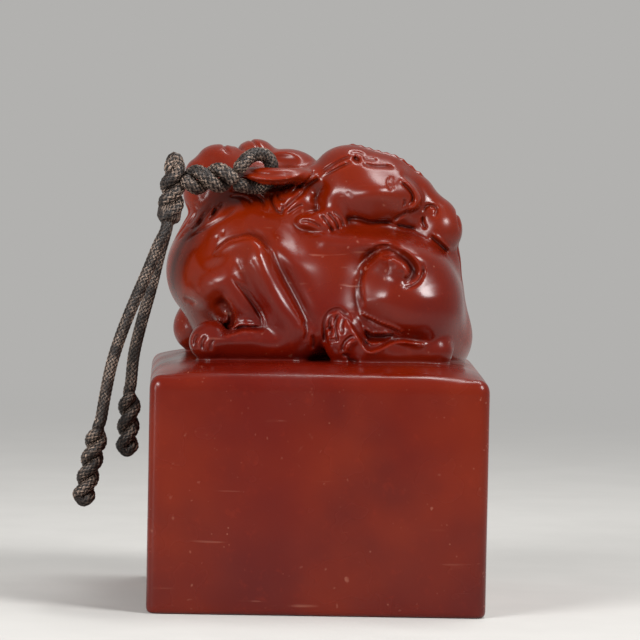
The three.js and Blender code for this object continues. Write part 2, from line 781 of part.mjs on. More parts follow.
// One petal of the rosette, pointing away from the middle, as wide as its neighbours leave it
function petalPoints(angle) {
  const steps = 5;
  const middle = petalStart + petalLength / 2;
  const width = 2 * middle * Math.sin(Math.PI / petalCount) - petalGap;
  const edge = [];
  for (let i = 0; i <= steps; i += 1) {
    const t = i / steps;
    edge.push([petalStart + t * petalLength, width / 2 * Math.sin(Math.PI * t) ** 0.8]);
  }
  for (let i = steps - 1; i > 0; i -= 1) {
    edge.push([edge[i][0], -edge[i][1]]);
  }
  const origin = new THREE.Vector2();
  return edge.map(([x, y]) => new THREE.Vector2(x, y).rotateAround(origin, angle));
}

// What is cut away around the raised lines of the printing face
function printPockets() {
  const fieldHalf = blockSide / 2 - printMargin - printBorder;
  const outline = roundedSquare(fieldHalf, printCornerRadius).map(([x, y]) => new THREE.Vector2(x, y));
  const field = new THREE.Shape(outline);
  field.holes.push(new THREE.Path(circlePoints(printRingRadius + printRingWidth, printSteps)));
  const inner = new THREE.Shape(circlePoints(printRingRadius, printSteps));
  inner.holes.push(new THREE.Path(circlePoints(rosetteCore, printSteps / 2)));
  for (let i = 0; i < petalCount; i += 1) {
    inner.holes.push(new THREE.Path(petalPoints(2 * Math.PI * i / petalCount)));
  }
  return [field, inner].map((shape) => {
    const pocket = new THREE.ExtrudeGeometry(shape, { depth: 2 * printDepth, bevelEnabled: false });
    pocket.translate(0, 0, -printDepth);
    return solidOfGeometry(pocket);
  });
}

// Box around the carving, in its own drawn millimetres
const carvingLow = [-26, -20, -2 * rootDepth];
const carvingHigh = [26, 20.8, 35.2];

function stoneGeometry() {
  const rooted = (x, y, z) => Math.max(carving(x, y, z), -rootDepth - z);
  const surface = new FieldSurface(rooted, carvingLow, carvingHigh, carvingStep);
  const carved = new Simplifier(surface).reduce(carvingTriangles);
  const beasts = solidOf(carved.points.map(onBlock), carved.triangles);
  const stone = blockSolid().add(beasts);
  return geometryOf(printPockets().reduce((body, pocket) => body.subtract(pocket), stone));
}

// Routes of the cord: hand-chosen places along its middle line
const cordY = -10;
const tailSpread = 3.8;
const leftTailY = cordY - tailSpread / 2;
const rightTailY = cordY + tailSpread / 2;

const loopRoute = [
  [-11.9, -9.8, 30.25],
  [-11.2, -9.2, 31.1],
  [-9.9, -8, 31.8],
  [-8.4, -7, 31.6],
  [eyeX, eyeY, 30.4],
  [eyeX, eyeY, 28.4],
  [-8.6, -7, 27.1],
  [-10.4, -7.9, 26.9],
  [-12.2, -9.6, 27.3],
];

const leftTailRoute = [
  [-22.9, leftTailY, 20.8],
  [-24.2, leftTailY, 18],
  [-25.6, leftTailY, 14.4],
  [-27.5, leftTailY, 9.8],
  [-29.2, leftTailY, 5.4],
  [-30.7, leftTailY, 0.6],
  [-31.6, leftTailY, -4],
  [-32.2, leftTailY, -7.8],
];

const rightTailRoute = [
  [-22.9, rightTailY, 20.8],
  [-24, rightTailY, 16.4],
  [-25.1, rightTailY, 11.6],
  [-26.5, rightTailY, 6.2],
  [-27.5, rightTailY, 1.6],
  [-27.9, rightTailY, -2.8],
];

// Wound knots: the axis they are wound on, turns, radius of the turns, the share of the length
// over which they open out from the axis and close on it again, and the tube's radius
const ringKnot = {
  start: [-13.1, -10.1, 28.4], end: [-20.6, -10.3, 27.6],
  turns: 2.5, radius: 1.3, opening: 0.5, tube: 0.7,
};
const buttonKnot = {
  start: [-21.9, -10.2, 29.6], end: [-22.7, cordY, 21.4],
  turns: 3, radius: 1.1, opening: 0.5, tube: 0.7,
};
const leftEndKnot = {
  start: [-32.3, leftTailY, -8.3], end: [-34.6, leftTailY, -19.8],
  turns: 4, radius: 0.85, opening: 0.3, tube: 0.75,
};
const rightEndKnot = {
  start: [-27.95, rightTailY, -3.3], end: [-28.3, rightTailY, -12.5],
  turns: 3, radius: 0.85, opening: 0.3, tube: 0.75,
};

class CordRoute extends THREE.Curve {
  constructor(places) {
    super();
    const points = places.map((place) => new THREE.Vector3(...onBlock(place)));
    this.guide = new THREE.CatmullRomCurve3(points, false, 'centripetal');
  }

  getPoint(t) {
    return this.guide.getPointAt(t);
  }
}

// Turns about an axis that open out from it at the start and close on it at the end
class Winding extends THREE.Curve {
  constructor({ start, end, turns, radius, opening }) {
    super();
    this.start = new THREE.Vector3(...onBlock(start));
    this.axis = new THREE.Vector3(...onBlock(end)).sub(this.start);
    this.reach = this.axis.length();
    this.axis.normalize();
    this.sideways = new THREE.Vector3(0, 1, 0);
    this.sideways.addScaledVector(this.axis, -this.sideways.dot(this.axis)).normalize();
    this.outwards = this.sideways.clone().cross(this.axis).normalize();
    this.turns = turns;
    this.radius = radius;
    this.opening = opening;
  }

  getPoint(t) {
    const opened = THREE.MathUtils.smoothstep(Math.min(t, 1 - t), 0, this.opening);
    const angle = 2 * Math.PI * this.turns * t;
    return this.start.clone()
      .addScaledVector(this.axis, this.reach * t)
      .addScaledVector(this.outwards, opened * this.radius * Math.cos(angle))
      .addScaledVector(this.sideways, opened * this.radius * Math.sin(angle));
  }
}

function cordTube(curve, radius, sides, steps) {
  const section = new THREE.Shape(circlePoints(radius, sides));
  return new THREE.ExtrudeGeometry(section, { steps, bevelEnabled: false, extrudePath: curve });
}

// Least gap between a winding's own turns, measured on points of its middle line
function windingGap(knot) {
  const count = 400;
  const places = new Winding(knot).getPoints(count);
  const lengths = [0];
  for (let i = 1; i <= count; i += 1) {
    lengths.push(lengths[i - 1] + places[i].distanceTo(places[i - 1]));
  }
  const sameTurn = Math.PI * knot.tube * 1.6;
  let least = Infinity;
  for (let i = 0; i <= count; i += 1) {
    for (let j = i + 1; j <= count; j += 1) {
      if (lengths[j] - lengths[i] > sameTurn) {
        least = Math.min(least, places[i].distanceTo(places[j]) - 2 * knot.tube);
      }
    }
  }
  return least;
}

const part = new THREE.Group();

function addNode(name, geometry, finish) {
  const mesh = new THREE.Mesh(geometry, new THREE.MeshStandardMaterial(finish));
  mesh.name = name;
  part.add(mesh);
}

function addCord(name, route, steps) {
  addNode(name, cordTube(new CordRoute(route), cordDiameter / 2, cordSides, steps), cordFinish);
}

function addKnot(name, knot) {
  const steps = Math.round(knot.turns * windingSteps);
  addNode(name, cordTube(new Winding(knot), knot.tube, windingSides, steps), cordFinish);
  console.log(`${name}: least gap between turns ${windingGap(knot).toFixed(2)} mm`);
}

addNode('seal_stone', stoneGeometry(), stoneFinish);
addCord('cord_loop', loopRoute, 20);
addKnot('ring_knot', ringKnot);
addKnot('button_knot', buttonKnot);
addCord('left_tail', leftTailRoute, 10);
addKnot('left_end_knot', leftEndKnot);
addCord('right_tail', rightTailRoute, 10);
addKnot('right_end_knot', rightEndKnot);

export default part;
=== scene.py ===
"""Looks of a square seal stamp: polished red stone with a mother beast and her cub carved on top,
and a doubled braided cord tied through an eye under the mother's ear.

The stone is carved again here on a fine grid: from the masses of the part's source and three small
ones more, then with the swellings, ledges and strokes of the chisel. The cord is braided along the
source's route. Places are in millimetres: X and Y from the middle of the block, and the height above
the block's rim.
"""
import logging
import math
from collections.abc import Callable, Iterable
from dataclasses import dataclass, field, replace
from enum import Enum

import bpy
import numpy as np
from mathutils import Matrix, Vector


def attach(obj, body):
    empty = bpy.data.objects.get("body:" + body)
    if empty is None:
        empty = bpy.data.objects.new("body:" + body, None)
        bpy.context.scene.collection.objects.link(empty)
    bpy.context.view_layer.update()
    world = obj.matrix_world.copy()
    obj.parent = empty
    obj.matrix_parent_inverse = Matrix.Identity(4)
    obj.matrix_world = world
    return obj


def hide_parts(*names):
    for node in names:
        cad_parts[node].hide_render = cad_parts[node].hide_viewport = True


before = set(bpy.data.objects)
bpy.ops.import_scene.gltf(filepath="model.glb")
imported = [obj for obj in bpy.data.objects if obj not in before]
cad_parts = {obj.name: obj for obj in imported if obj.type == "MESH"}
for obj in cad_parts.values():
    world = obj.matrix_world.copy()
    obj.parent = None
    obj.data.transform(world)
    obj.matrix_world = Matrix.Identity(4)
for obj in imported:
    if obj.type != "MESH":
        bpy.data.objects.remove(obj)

LOG = logging.getLogger("seal_stamp")
MM = 0.001

Place = tuple[float, float, float]
Point = tuple[float, float]
Colour = tuple[float, float, float, float]

LEAST_SLOPE = 1e-5  # least slope that a distance is divided by
SPAN_STEPS = 24  # places on each span of a smooth curve
LINE_STEP = 0.25  # distance between the places along a stroke
JOIN_REACH = 1.3  # how far a join is felt, as a share of its softness
JOIN_MARGIN = 2  # how much further the grid is worked over
OPEN_AIR = 9.0  # distance that stands for open air
OUT_OF_REACH = 1e9  # squared distance of what no stroke has come near


# Sizes of the block

@dataclass(frozen=True)
class Block:
    """Sizes of the square block, the carved ground on it and its print, in millimetres.

    Attributes:
        rim_softness: Width of the rounding between the sides and the ground.
        foot_softness: Width of the rounding between the sides and the printing face.
        ground_insets: Distances from the block's edge at which the ground's height is given.
        ground_heights: The ground's height over the rim at each of them.
        ground_slope: Distance from the sloping ground, as a share of the height above it.
        ring_radius: Middle of the print's raised ring.
        petal_start: Distance from the middle at which the petals begin.
        petal_fullness: How pointed a petal is, less being fuller.
    """

    side: float = 50.0
    height: float = 35.4
    corner_radius: float = 1.8
    rim_softness: float = 2.2
    foot_softness: float = 0.9
    ground_insets: tuple[float, ...] = (0.0, 0.7, 2.6, 4.65, 6.0, 7.5, 10.0)
    ground_heights: tuple[float, ...] = (-0.2, -0.02, 0.5, 1.0, 1.25, 1.4, 1.42)
    ground_corner: float = 9.0
    ground_slope: float = 0.97
    print_depth: float = 0.8
    print_margin: float = 3.8
    print_softness: float = 0.15
    ring_radius: float = 14.9
    ring_half_width: float = 0.9
    petal_count: int = 8
    petal_start: float = 3.5
    petal_length: float = 7.4
    petal_half_width: float = 2.3
    petal_fullness: float = 0.8
    rosette_core: float = 2.6


BLOCK = Block()


# Shapes that the carving is built from

def turned(u: np.ndarray, v: np.ndarray, degrees: float) -> tuple[np.ndarray, np.ndarray]:
    """Places on the flat, seen along axes that are turned by an angle.

    Args:
        u: Places along the first axis.
        v: Places along the second axis.
        degrees: The angle.

    Returns:
        The places along each turned axis.
    """
    cosine, sine = math.cos(math.radians(degrees)), math.sin(math.radians(degrees))
    return u * cosine + v * sine, v * cosine - u * sine


def distances_along(line: np.ndarray) -> np.ndarray:
    """Distance from the first point of a line to each of its points, along the line."""
    return np.concatenate([[0], np.cumsum(np.linalg.norm(np.diff(line, axis=0), axis=1))])


@dataclass(frozen=True)
class Mass:
    """A rounded mass of the carving, or a hollow cut back into it.

    Attributes:
        at: Centre, in millimetres.
        half: Half sizes along X, Y and the height.
        join: Softness of its join with what is there, in millimetres.
        turn: Turn about the upright axis, in degrees.
    """

    at: Place
    half: Place
    join: float
    turn: float = 0.0

    def box(self, margin: float) -> tuple[np.ndarray, np.ndarray]:
        """Lowest and highest corner around the mass.

        Args:
            margin: Distance to keep round it, in millimetres.

        Returns:
            The two corners.
        """
        angle = math.radians(self.turn)
        wide = math.hypot(self.half[0] * math.cos(angle), self.half[1] * math.sin(angle))
        deep = math.hypot(self.half[0] * math.sin(angle), self.half[1] * math.cos(angle))
        reach = np.array([wide, deep, self.half[2]]) + margin
        return np.array(self.at) - reach, np.array(self.at) + reach

    def distance(self, x: np.ndarray, y: np.ndarray, z: np.ndarray) -> np.ndarray:
        """Signed distance to the mass, near enough for blending.

        Args:
            x: Places along X.
            y: Places along Y.
            z: Heights.

        Returns:
            The distances, less than nothing inside.
        """
        along, aside = turned(x - self.at[0], y - self.at[1], self.turn)
        u, v, w = along / self.half[0], aside / self.half[1], (z - self.at[2]) / self.half[2]
        reach = np.sqrt(u * u + v * v + w * w)
        slope = np.sqrt((u / self.half[0]) ** 2 + (v / self.half[1]) ** 2 + (w / self.half[2]) ** 2)
        gap = reach * (reach - 1) / np.maximum(slope, LEAST_SLOPE)
        return np.where(slope < LEAST_SLOPE, -min(self.half), gap)


@dataclass(frozen=True)
class Limb:
    """A limb that tapers from one rounded end to the other.

    Attributes:
        start: Middle of the first end.
        end: Middle of the second end.
        radii: Radius at each end.
        join: Softness of its join with what is there.
    """

    start: Place
    end: Place
    radii: Point
    join: float

    def box(self, margin: float) -> tuple[np.ndarray, np.ndarray]:
        """Lowest and highest corner around the limb.

        Args:
            margin: Distance to keep round it, in millimetres.

        Returns:
            The two corners.
        """
        ends = np.array([self.start, self.end])
        reach = max(self.radii) + margin
        return ends.min(0) - reach, ends.max(0) + reach

    def distance(self, x: np.ndarray, y: np.ndarray, z: np.ndarray) -> np.ndarray:
        """Signed distance to the limb.

        Args:
            x: Places along X.
            y: Places along Y.
            z: Heights.

        Returns:
            The distances, less than nothing inside.
        """
        run = np.array(self.end) - np.array(self.start)
        px, py, pz = x - self.start[0], y - self.start[1], z - self.start[2]
        along = (px * run[0] + py * run[1] + pz * run[2]) / float(run @ run)
        t = np.clip(along, 0, 1)
        off = np.sqrt((px - t * run[0]) ** 2 + (py - t * run[1]) ** 2 + (pz - t * run[2]) ** 2)
        return off - (self.radii[0] + t * (self.radii[1] - self.radii[0]))


class View(Enum):
    """The side of the stone that a stroke is cut square to."""

    NEAR = "near flank"
    FAR = "far flank"
    BOTH = "both flanks"
    CROWN = "from above"
    CHEST = "from the head's end"
    TAIL = "from the tail's end"


@dataclass(frozen=True)
class Stroke:
    """A groove cut square to one side, or a raised line where the depth is less than nothing.

    Attributes:
        points: Places along the stroke, across and up the side it is cut on.
        width: Half width of the groove, in millimetres.
        depth: Depth of the groove, in millimetres.
        view: Side that it is cut on.
        ends: How much of the depth is left at the ends.
    """

    points: tuple[Point, ...]
    width: float = 0.35
    depth: float = 0.4
    view: View = View.NEAR
    ends: float = 0.0


@dataclass(frozen=True)
class Swell:
    """A soft swelling of one side, or a soft hollow where the rise is less than nothing.

    Attributes:
        at: Its middle, across and up the side.
        half: Its half sizes, in millimetres.
        rise: How far its middle stands proud.
        turn: Turn of its long side, in degrees.
        view: Side that it is carved on.
    """

    at: Point
    half: Point
    rise: float
    turn: float = 0.0
    view: View = View.BOTH


@dataclass(frozen=True)
class Ledge:
    """A step: the stone stands proud on the left of the way the points run, and drops on the right.

    Attributes:
        points: Places along the ledge.
        rise: How far the left side stands proud.
        drop: How far the right side is cut back.
        proud_reach: Distance over which the left side fades.
        cut_reach: Distance over which the right side fades.
        soft: Half width of the step itself.
        view: Side that it is cut on.
    """

    points: tuple[Point, ...]
    rise: float
    drop: float
    proud_reach: float
    cut_reach: float
    soft: float
    view: View = View.BOTH


def smooth_union(a: np.ndarray, b: np.ndarray, softness: float) -> np.ndarray:
    """Least of two distances, with a rounded join.

    Args:
        a: Distances to the first shape.
        b: Distances to the second shape.
        softness: Width of the rounding, in millimetres.

    Returns:
        Distances to the joined shape.
    """
    overlap = np.maximum(softness - np.abs(a - b), 0)
    return np.minimum(a, b) - overlap * overlap / (4 * softness)


def smooth_cut(body: np.ndarray, hollow: np.ndarray, softness: float) -> np.ndarray:
    """Distances to a body after a hollow is cut from it, with a rounded rim."""
    return -smooth_union(-body, hollow, softness)


def smooth_step(value: np.ndarray, low: float, high: float) -> np.ndarray:
    """Value taken from 0 at the low mark to 1 at the high mark, with soft ends."""
    t = np.clip((value - low) / (high - low), 0, 1)
    return t * t * (3 - 2 * t)


def smooth_line(points: np.ndarray, step: float) -> np.ndarray:
    """Places at even distances along a smooth curve through the points.

    Args:
        points: Points that the curve passes through, one a row.
        step: Distance between the places.

    Returns:
        The places, one a row, the first and last at the ends.
    """
    ends = np.vstack([2 * points[0] - points[1], points, 2 * points[-1] - points[-2]])
    fine = []
    for i in range(len(points) - 1):
        p0, p1, p2, p3 = ends[i:i + 4]
        t = np.linspace(0, 1, SPAN_STEPS, endpoint=False)[:, None]
        cubic = (3 * (p1 - p2) + p3 - p0) * t ** 3 + (2 * p0 - 5 * p1 + 4 * p2 - p3) * t ** 2
        fine.append(p1 + 0.5 * (cubic + (p2 - p0) * t))
    line = np.vstack([*fine, points[-1:]])
    lengths = distances_along(line)
    marks = np.linspace(0, lengths[-1], max(2, round(lengths[-1] / step) + 1))
    return np.stack([np.interp(marks, lengths, line[:, axis]) for axis in range(line.shape[1])], 1)


# The masses and limbs of the mother, her head and the cub, and what is cut back into them

MOTHER_MASSES = (
    Mass((0.6, 0.4, 12), (19, 15.4, 11.4), 3),
    Mass((0, -1.6, 8.4), (13.6, 14.6, 8.6), 3),
    Mass((-13.4, 0.3, 14.2), (9.5, 11.6, 9), 3),
    Mass((-11.6, 0.4, 6.6), (7.4, 10.6, 6.6), 2.4),
    Mass((-9.4, 0, 19.5), (9.2, 10.4, 6.6), 3),
    Mass((12.6, 0.5, 10.6), (9.6, 14.2, 9.8), 3),
    Mass((14.2, 0.5, 4.6), (9.4, 14.8, 7.8), 2.4),
    Mass((13.2, -8.6, 9.8), (8.3, 9.2, 8.8), 2.2),
    Mass((13.2, 8.9, 9.8), (8.3, 8.8, 8.8), 2.2),
    Mass((3.9, -14.8, 4.9), (3.3, 2.6, 4), 0.8),
    Mass((3.9, 15.2, 4.7), (3.3, 2.4, 3.8), 0.8),
    Mass((-15.8, -13.6, 3.9), (3.5, 3.4, 2.9), 0.7),
    Mass((-17.9, 6.8, 4.8), (3.8, 4.2, 3.8), 0.7),
    Mass((18, -1.6, 16.6), (3.3, 4.4, 4.6), 1.8),
    Mass((17.7, -4, 20.9), (3.8, 4.2, 4), 0.9),
    Mass((17, -3.2, 23.6), (3, 3.4, 2.3), 1.2),
    Mass((7.6, -12.4, 6.2), (2.8, 2.6, 2.6), 1.2),
    Mass((7.6, 12.8, 6.2), (2.8, 2.4, 2.6), 1.2),
    Mass((-3.2, -2.4, 24.2), (4.4, 6, 4.2), 2),
)

MOTHER_LIMBS = (
    Limb((-10, -9.4, 14.4), (-3.8, -12.4, 5.4), (6.2, 4.2), 1.8),
    Limb((-4.6, -12.9, 4.3), (-13.6, -13.8, 3.7), (3.4, 2.7), 0.7),
    Limb((-13.6, -8.4, 11.6), (-11, -11.2, 5.4), (3.6, 2.7), 1.2),
    Limb((-10.4, 9.6, 14.2), (-5, 12.6, 5.4), (6, 4.2), 1.8),
    Limb((-5.4, 13, 4.4), (-16, 9, 4.2), (3.5, 2.9), 0.7),
    Limb((17, -12.4, 3.2), (6.6, -15, 2.7), (3, 2.1), 0.7),
    Limb((17, 12.8, 3.2), (6.6, 15.4, 2.7), (3, 2.1), 0.7),
    Limb((-11.6, 0.6, 19), (-11.4, 2, 25), (8.4, 7), 2.6),
)

HEAD_MASSES = (
    Mass((-11.6, 3, 26.2), (7.8, 7.4, 5.6), 2),
    Mass((-15.5, 2.4, 30.4), (3.1, 3.6, 2.5), 0.9),
    Mass((-9.5, 3.2, 31.1), (2.9, 3.8, 2.7), 0.9),
    Mass((-17.6, 1.4, 28.4), (2.8, 3.4, 2.7), 0.8),
    Mass((-5, 0.6, 28.5), (5.4, 5.2, 4), 1.4),
    Mass((-12.6, 10.6, 25.2), (4.6, 4.8, 3.7), 1.4),
    Mass((-12.9, 14.2, 27.2), (2.3, 1.9, 1.7), 0.9),
    Mass((-15, 13.2, 26.4), (1.4, 1.5, 1.3), 0.6),
    Mass((-10.8, 13.6, 26.4), (1.4, 1.5, 1.3), 0.6),
    Mass((-12.4, 9.6, 20.9), (3.9, 4.4, 1.9), 1.2),
    Mass((-15.4, 8, 28.6), (1.5, 1.5, 1.4), 0.35),
    Mass((-9.4, 8.9, 28.7), (1.5, 1.5, 1.4), 0.35),
    Mass((-6.7, -5.4, 28.6), (6.3, 5.4, 1.8), 0.5, turn=-4),
    Mass((-18.4, 0.4, 25.6), (1.9, 3.6, 2.6), 0.6, turn=20),
)

CUB_MASSES = (
    Mass((4.6, -3.2, 27.6), (6.2, 5.8, 5.2), 1.4),
    Mass((4.4, -2.4, 29.8), (4.8, 4.4, 3.5), 1),
    Mass((9, -2.4, 27.6), (5.4, 5, 4.6), 1.4),
    Mass((-0.6, -3.6, 27.6), (2.9, 3, 2.6), 1),
    Mass((7.4, -4.8, 25.2), (7.4, 6, 4.1), 1.4),
    Mass((12.6, -2.6, 24.8), (5.2, 5.8, 4.9), 1.6),
    Mass((11, -5.8, 26), (3.6, 3.2, 4), 1.2),
    Mass((-0.2, -8.6, 21.9), (3.6, 2.2, 1.5), 0.5, turn=3),
    Mass((1, 4.6, 23.2), (3.4, 2, 1.6), 0.5),
)

CUB_LIMBS = (
    Limb((3.2, -5.4, 26.8), (1.8, -8.2, 22.6), (3, 1.9), 0.9),
    Limb((3, 1.6, 28), (2, 4.4, 23.6), (2.3, 1.7), 0.6),
)

HOLLOWS = (
    Mass((-6.6, -6, 31.5), (5, 4.2, 2), 0.4),
    Mass((-12.6, 15.2, 22.4), (3.6, 4.2, 0.8), 0.4),
)

EYE_X, EYE_Y = -7.5, -6.6
EYE_RADIUS = 1.4
EYE_JOIN = 0.3
EYE_PATH = (
    (EYE_X, EYE_Y, 33.4),
    (EYE_X, EYE_Y, 28.2),
    (EYE_X - 1.4, EYE_Y - 0.4, 26.9),
    (EYE_X - 3.2, EYE_Y - 1.4, 26.8),
    (EYE_X - 7, EYE_Y - 3.4, 27.4),
)

BEAD_LENGTH = 0.08


def beads(points: tuple[Point, ...], spacing: float, size: float, height: float) -> tuple[Stroke, ...]:
    """A row of small round beads along a line, or of pits where the height is less than nothing.

    Args:
        points: Points that the line passes through.
        spacing: Distance from bead to bead, in millimetres.
        size: Half width of a bead.
        height: How far it stands proud.

    Returns:
        A short stroke for each bead.
    """
    spots = smooth_line(np.array(points, float), spacing).round(2).tolist()
    return tuple(Stroke(((u, v), (u + BEAD_LENGTH, v)), size, -height, ends=1.0) for u, v in spots)


def cut_on(view: View, strokes: Iterable[Stroke]) -> tuple[Stroke, ...]:
    """The same strokes, cut on one side.

    Args:
        view: The side.
        strokes: The strokes.

    Returns:
        The strokes, each with that side.
    """
    return tuple(replace(stroke, view=view) for stroke in strokes)


# Broad swellings and hollows of the flanks, then their ledges and crisp lines

SWELLS = (
    Swell((-15.4, 11.6), (4.2, 3.6), 1.2, 10),
    Swell((-18.3, 12.6), (3.6, 4), 1.7),
    Swell((-14.4, 16.9), (3.4, 1.3), -0.6, 22),
    Swell((-8.6, 15), (3.8, 1.9), 0.95, 110),
    Swell((-6, 9.4), (3.8, 1.6), 0.8, 119),
    Swell((-11.8, 8.7), (3.1, 1.15), 0.95, 122),
    Swell((-4.7, 16.9), (3.6, 2.1), 0.95, -48),
    Swell((1.4, 12.4), (4.6, 4.0), -0.9, 100),
    Swell((0.5, 17.4), (4.0, 1.8), -0.25, -5),
    Swell((9, 11.2), (3.8, 2.7), 0.8, 75),
    Swell((11.1, 15.3), (1.5, 1.2), 0.6),
    Swell((11.6, 18.3), (5.8, 2.5), 2.3, -14),
    Swell((-12, 4.5), (3.2, 0.9), 0.35),
    Swell((8, 27), (4, 2.5), 0.95, 10, View.NEAR),
    Swell((8.6, 24.6), (4.5, 1.4), -0.3, 0, View.NEAR),
    Swell((1.6, 26.4), (3, 1.5), 0.4, 55, View.NEAR),
)

BROAD_STROKES = cut_on(View.BOTH, (
    Stroke(((-2, 20.2), (0.9, 19.7), (3.6, 19.4), (6.2, 19.4), (8.9, 19.2), (11, 18.6)), 1.8, -0.7,
            ends=0.2),
    Stroke(((10.5, 18.6), (13, 17.4), (15, 15.6), (16.2, 13.4), (16.6, 11)), 2.6, 0.35, ends=0.2),
))

LEDGES = (
    Ledge(((-1.2, 4.6), (-2.4, 7.4), (-3.7, 10), (-5, 12.4), (-6.1, 14.5), (-7, 16.3), (-7.7, 17.6),
           (-8.8, 18.9), (-10.4, 19.7), (-12.4, 19.7)), rise=0.5, drop=0.7, proud_reach=2.2, cut_reach=2.2,
           soft=0.55),
    Ledge(((-7.6, 17.2), (-8.8, 18.9), (-10.1, 19.8), (-11.2, 19.9), (-12.5, 19.6), (-13.8, 19.1),
           (-15.1, 18.1), (-16.3, 16.8)), rise=0.4, drop=0.35, proud_reach=1.3, cut_reach=1.0, soft=0.15),
    Ledge(((12.2, 17.7), (9.7, 18), (7.9, 17.2), (6.5, 15.6), (5.9, 13.6), (5.9, 11.2), (6.7, 8.4)),
           rise=0.5, drop=0.75, proud_reach=2.6, cut_reach=2.2, soft=0.42),
    Ledge(((12, 14.1), (12.8, 14.4), (13.1, 15.2), (12.7, 16.1), (11.7, 16.8), (10.3, 17.2), (8.8, 16.9)),
           rise=0.4, drop=0.6, proud_reach=1.2, cut_reach=1.1, soft=0.16),
    Ledge(((16.9, 4.4), (14.3, 4.7), (12.2, 4.9), (10.6, 4.6), (8.7, 3.7), (7.2, 3.5), (6, 5.1), (4.9, 6.7),
           (3.9, 8.4)), rise=0.35, drop=0.6, proud_reach=1.1, cut_reach=1.6, soft=0.22),
    Ledge(((-14.8, 11.2), (-13.6, 9.8), (-12.9, 8.4), (-12.7, 7), (-13.3, 6), (-14.5, 5.4)), rise=0.3,
           drop=0.85, proud_reach=0.8, cut_reach=1.5, soft=0.3),
    Ledge(((12.5, 24.1), (13.4, 23.8), (14.6, 24.3), (15.1, 25.7), (14.4, 27.1), (13.1, 28.4),
           (11.6, 29.3)), rise=0.3, drop=0.5, proud_reach=0.9, cut_reach=1.2, soft=0.22, view=View.NEAR),
)

